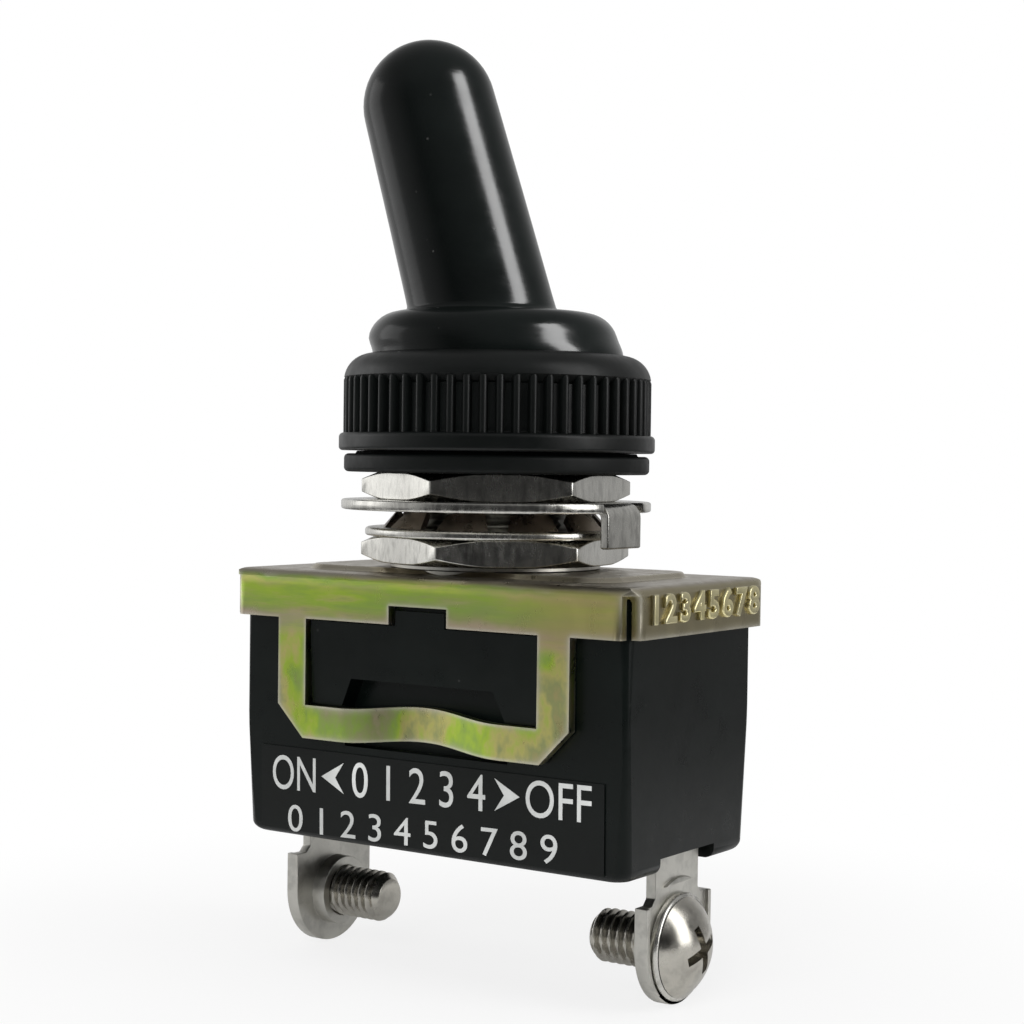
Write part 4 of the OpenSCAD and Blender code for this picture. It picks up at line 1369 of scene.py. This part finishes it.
@dataclass
class Studio:
    """Camera, floor, lamps and surroundings."""

    camera_azimuth: float = 35.148
    camera_distance: float = 134.679
    camera_height: float = 7.495
    yaw: float = -0.452
    pitch: float = 1.486
    roll: float = 0.735
    lens: float = 71.03
    floor_z: float = -26.75
    floor_r: float = 85
    lamps_z: float = 8

    def build(self) -> None:
        """Set up the whole studio."""
        self.camera()
        self.floor()
        self.world()
        self.lamp("left_softbox", -76, 14, 420, (240, 240), 0.16)
        self.lamp("right_softbox", 101, 24, 420, (180, 430), 0.8)
        self.lamp("boot_strip", 102, 24, 420, (150, 430), 3.6, only=BOOT)
        self.lamp("top_softbox", 10, 72, 460, (380, 260), 0.45, shines=False)
        self.lamp("front_fill", 15, 18, 460, (400, 400), 1.7, shines=False)
        bpy.context.scene.view_settings.view_transform = "Standard"

    def camera(self) -> None:
        """Make the camera."""
        azimuth, aim, tilt, roll = (math.radians(degrees) for degrees in (
            self.camera_azimuth, self.camera_azimuth + self.yaw, self.pitch, self.roll))
        spot = Vector((self.camera_distance * math.sin(azimuth), -self.camera_distance * math.cos(azimuth),
                       self.camera_height))
        ahead = Vector((-math.sin(aim) * math.cos(tilt), math.cos(aim) * math.cos(tilt), -math.sin(tilt)))
        right = ahead.cross(Vector((0, 0, 1))).normalized()
        up = right.cross(ahead)
        side = right * math.cos(roll) + up * math.sin(roll)
        head = up * math.cos(roll) - right * math.sin(roll)
        data = bpy.data.cameras.new("view")
        data.lens = self.lens
        data.sensor_width = 36
        data.clip_start = 0.005
        data.clip_end = 20
        camera = in_scene("view", data)
        camera.matrix_world = Matrix.Translation(spot * MM) @ Matrix((side, head, -ahead)).transposed().to_4x4()
        bpy.context.scene.camera = camera

    def floor(self) -> None:
        """Make the pale floor, which keeps the switch's shadow."""
        steps = 96
        floor = new_piece("floor", (circle_ring(self.floor_r, self.floor_z, steps), [tuple(range(steps))]))
        shade = Shade("floor_paint", Roughness=0.9, Specular_IOR_Level=0.1)
        pale = shade.ramp(shade.noise(30), [(place, (grey,) * 3) for place, grey in ((0.3, 0.86), (0.7, 0.90))])
        shade.feed(shade.skin, {"Base Color": pale})
        path = shade.add("ShaderNodeLightPath").outputs
        bounced = shade.math("MAXIMUM", path["Is Glossy Ray"], path["Is Transmission Ray"])
        seen = shade.math("MAXIMUM", path["Is Camera Ray"], shade.times(bounced, 0.1))
        away = shade.add("ShaderNodeVectorMath", {0: shade.place}, operation="LENGTH").outputs["Value"]
        share = shade.times(seen, shade.fade(away, (0.03, 0.065), (0.8, 1)))
        glow = shade.add("ShaderNodeEmission").outputs[0]
        both = shade.add("ShaderNodeMixShader", {0: share, 1: shade.skin.outputs[0], 2: glow})
        shade.feed(shade.out, {0: both.outputs[0]})
        floor.data.materials.append(shade.material)

    def world(self) -> None:
        """Make the surroundings: white to look at, dimmer in front of the switch and below it."""
        world = bpy.data.worlds.new("studio")
        world.use_nodes = True
        bpy.context.scene.world = world
        graph = Graph(world.node_tree)
        view = graph.add("ShaderNodeTexCoord").outputs["Generated"]
        split = graph.add("ShaderNodeSeparateXYZ", {0: view}).outputs
        turn = graph.math("ARCTAN2", split["Y"], split["X"])
        levels = ((-180, 0.75), (-150, 0.75), (-122, 0.45), (-98, 0.05), (-20, 0.04), (10, 0.12), (55, 0.30),
                  (90, 0.6), (180, 0.75))
        around = graph.ramp(graph.remap(turn, (-math.pi, math.pi)),
                            [((degrees + 180) / 360, (level,) * 3) for degrees, level in levels])
        sky = graph.mix(graph.fade(split["Z"], (0.25, 0.75)), around, (0.30, 0.30, 0.30))
        fall = graph.fade(split["Z"], (-0.35, -0.02), (0.08, 1))
        room = graph.add("ShaderNodeBackground", {0: sky, 1: fall}).outputs[0]
        backdrop = graph.add("ShaderNodeBackground", {0: (1, 1, 1, 1)}).outputs[0]
        seen = graph.add("ShaderNodeLightPath").outputs["Is Camera Ray"]
        both = graph.add("ShaderNodeMixShader", {0: seen, 1: room, 2: backdrop})
        graph.add("ShaderNodeOutputWorld", {0: both.outputs[0]})

    def lamp(self, name: str, azimuth: float, rise: float, reach: float, size: Span, power: float,
             shines: bool = True, only: str = "") -> None:
        """Make a soft rectangular lamp that looks at the switch.

        Args:
            name: name of the lamp.
            azimuth: its direction in degrees, from the front towards the right end.
            rise: its height above the horizon in degrees.
            reach: its distance in millimetres.
            size: its width and height in millimetres.
            power: its power in watts.
            shines: whether glossy surfaces show it.
            only: name of the one piece that it lights, or empty for all.
        """
        data = bpy.data.lights.new(name, "AREA")
        data.shape = "RECTANGLE"
        data.size, data.size_y = (edge * MM for edge in size)
        data.energy = power
        lamp = in_scene(name, data)
        lamp.visible_glossy = shines
        a, e = math.radians(azimuth), math.radians(rise)
        out = Vector((math.sin(a) * math.cos(e), -math.cos(a) * math.cos(e), math.sin(e)))
        spot = (out * reach + Vector((0, 0, self.lamps_z))) * MM
        lamp.matrix_world = Matrix.Translation(spot) @ out.to_track_quat("Z", "Y").to_matrix().to_4x4()
        if only:
            lit = bpy.data.collections.new(f"{name}_lights")
            lit.objects.link(bpy.data.objects[only])
            lamp.light_linking.receiver_collection = lit


def dress_inside(bench: Bench) -> None:
    """Give the pieces inside the switch their materials.

    Args:
        bench: where the materials are.
    """
    bench.coat_nodes("fibre_board", "insulator_plate")
    bench.coat_nodes("lever_metal", "lever")
    bench.coat_nodes("nickel_steel", "lever_pin")
    bench.coat_nodes("plunger_plastic", "plunger")
    bench.coat_nodes("copper_alloy", "rocker")
    bench.coat_nodes("contact_silver", "rocker_contact", "fixed_contact")


def main() -> None:
    """Build every piece of the switch and the studio around it."""
    logging.basicConfig(level=logging.INFO, format="%(name)s: %(message)s")
    bench = Bench(Finishes())
    copies = RingOfCopies("ring_of_copies")
    Housing().build(bench)
    Bracket().build(bench)
    Bushing().build(bench)
    HexNut("lower_hex_nut", "lower_nut", 0.65, 1.75, 40.5).build(bench)
    LockWasher().build(bench, copies)
    bench.fit(rounded_copy("tab_washer", "locating_washer", 0.14), "nickel_steel", nodes=["tab_washer"])
    HexNut("upper_hex_nut", "upper_nut", 4.78, 1.8, 37.5).build(bench)
    hole_r, low, rim_top, land_top = 6.0, 6.58, 7.78, 7.95
    disc = turned("rubber_disc", rounded([(hole_r, low, 0.1), (10.15, low, 0.3), (10.15, rim_top, 0.3),
                                          (9.4, rim_top, 0.05), (9.3, land_top, 0.05), (hole_r, land_top, 0.1)]))
    bench.fit(settle(disc), "disc_rubber", nodes=["sealing_disc"])
    BootNut().build(bench, copies)
    Boot().build(bench)
    CoilSpring().build(bench)
    for label, turn in (("right", 0), ("left", 180)):
        blade = rounded_copy(f"terminal_{label}", f"blade_{label}", 0.1)
        bench.fit(blade, "nickel_brass", nodes=[f"terminal_{label}"])
        TerminalScrew(label, turn).build(bench)
    dress_inside(bench)
    Studio().build()


if __name__ == "__main__":
    main()
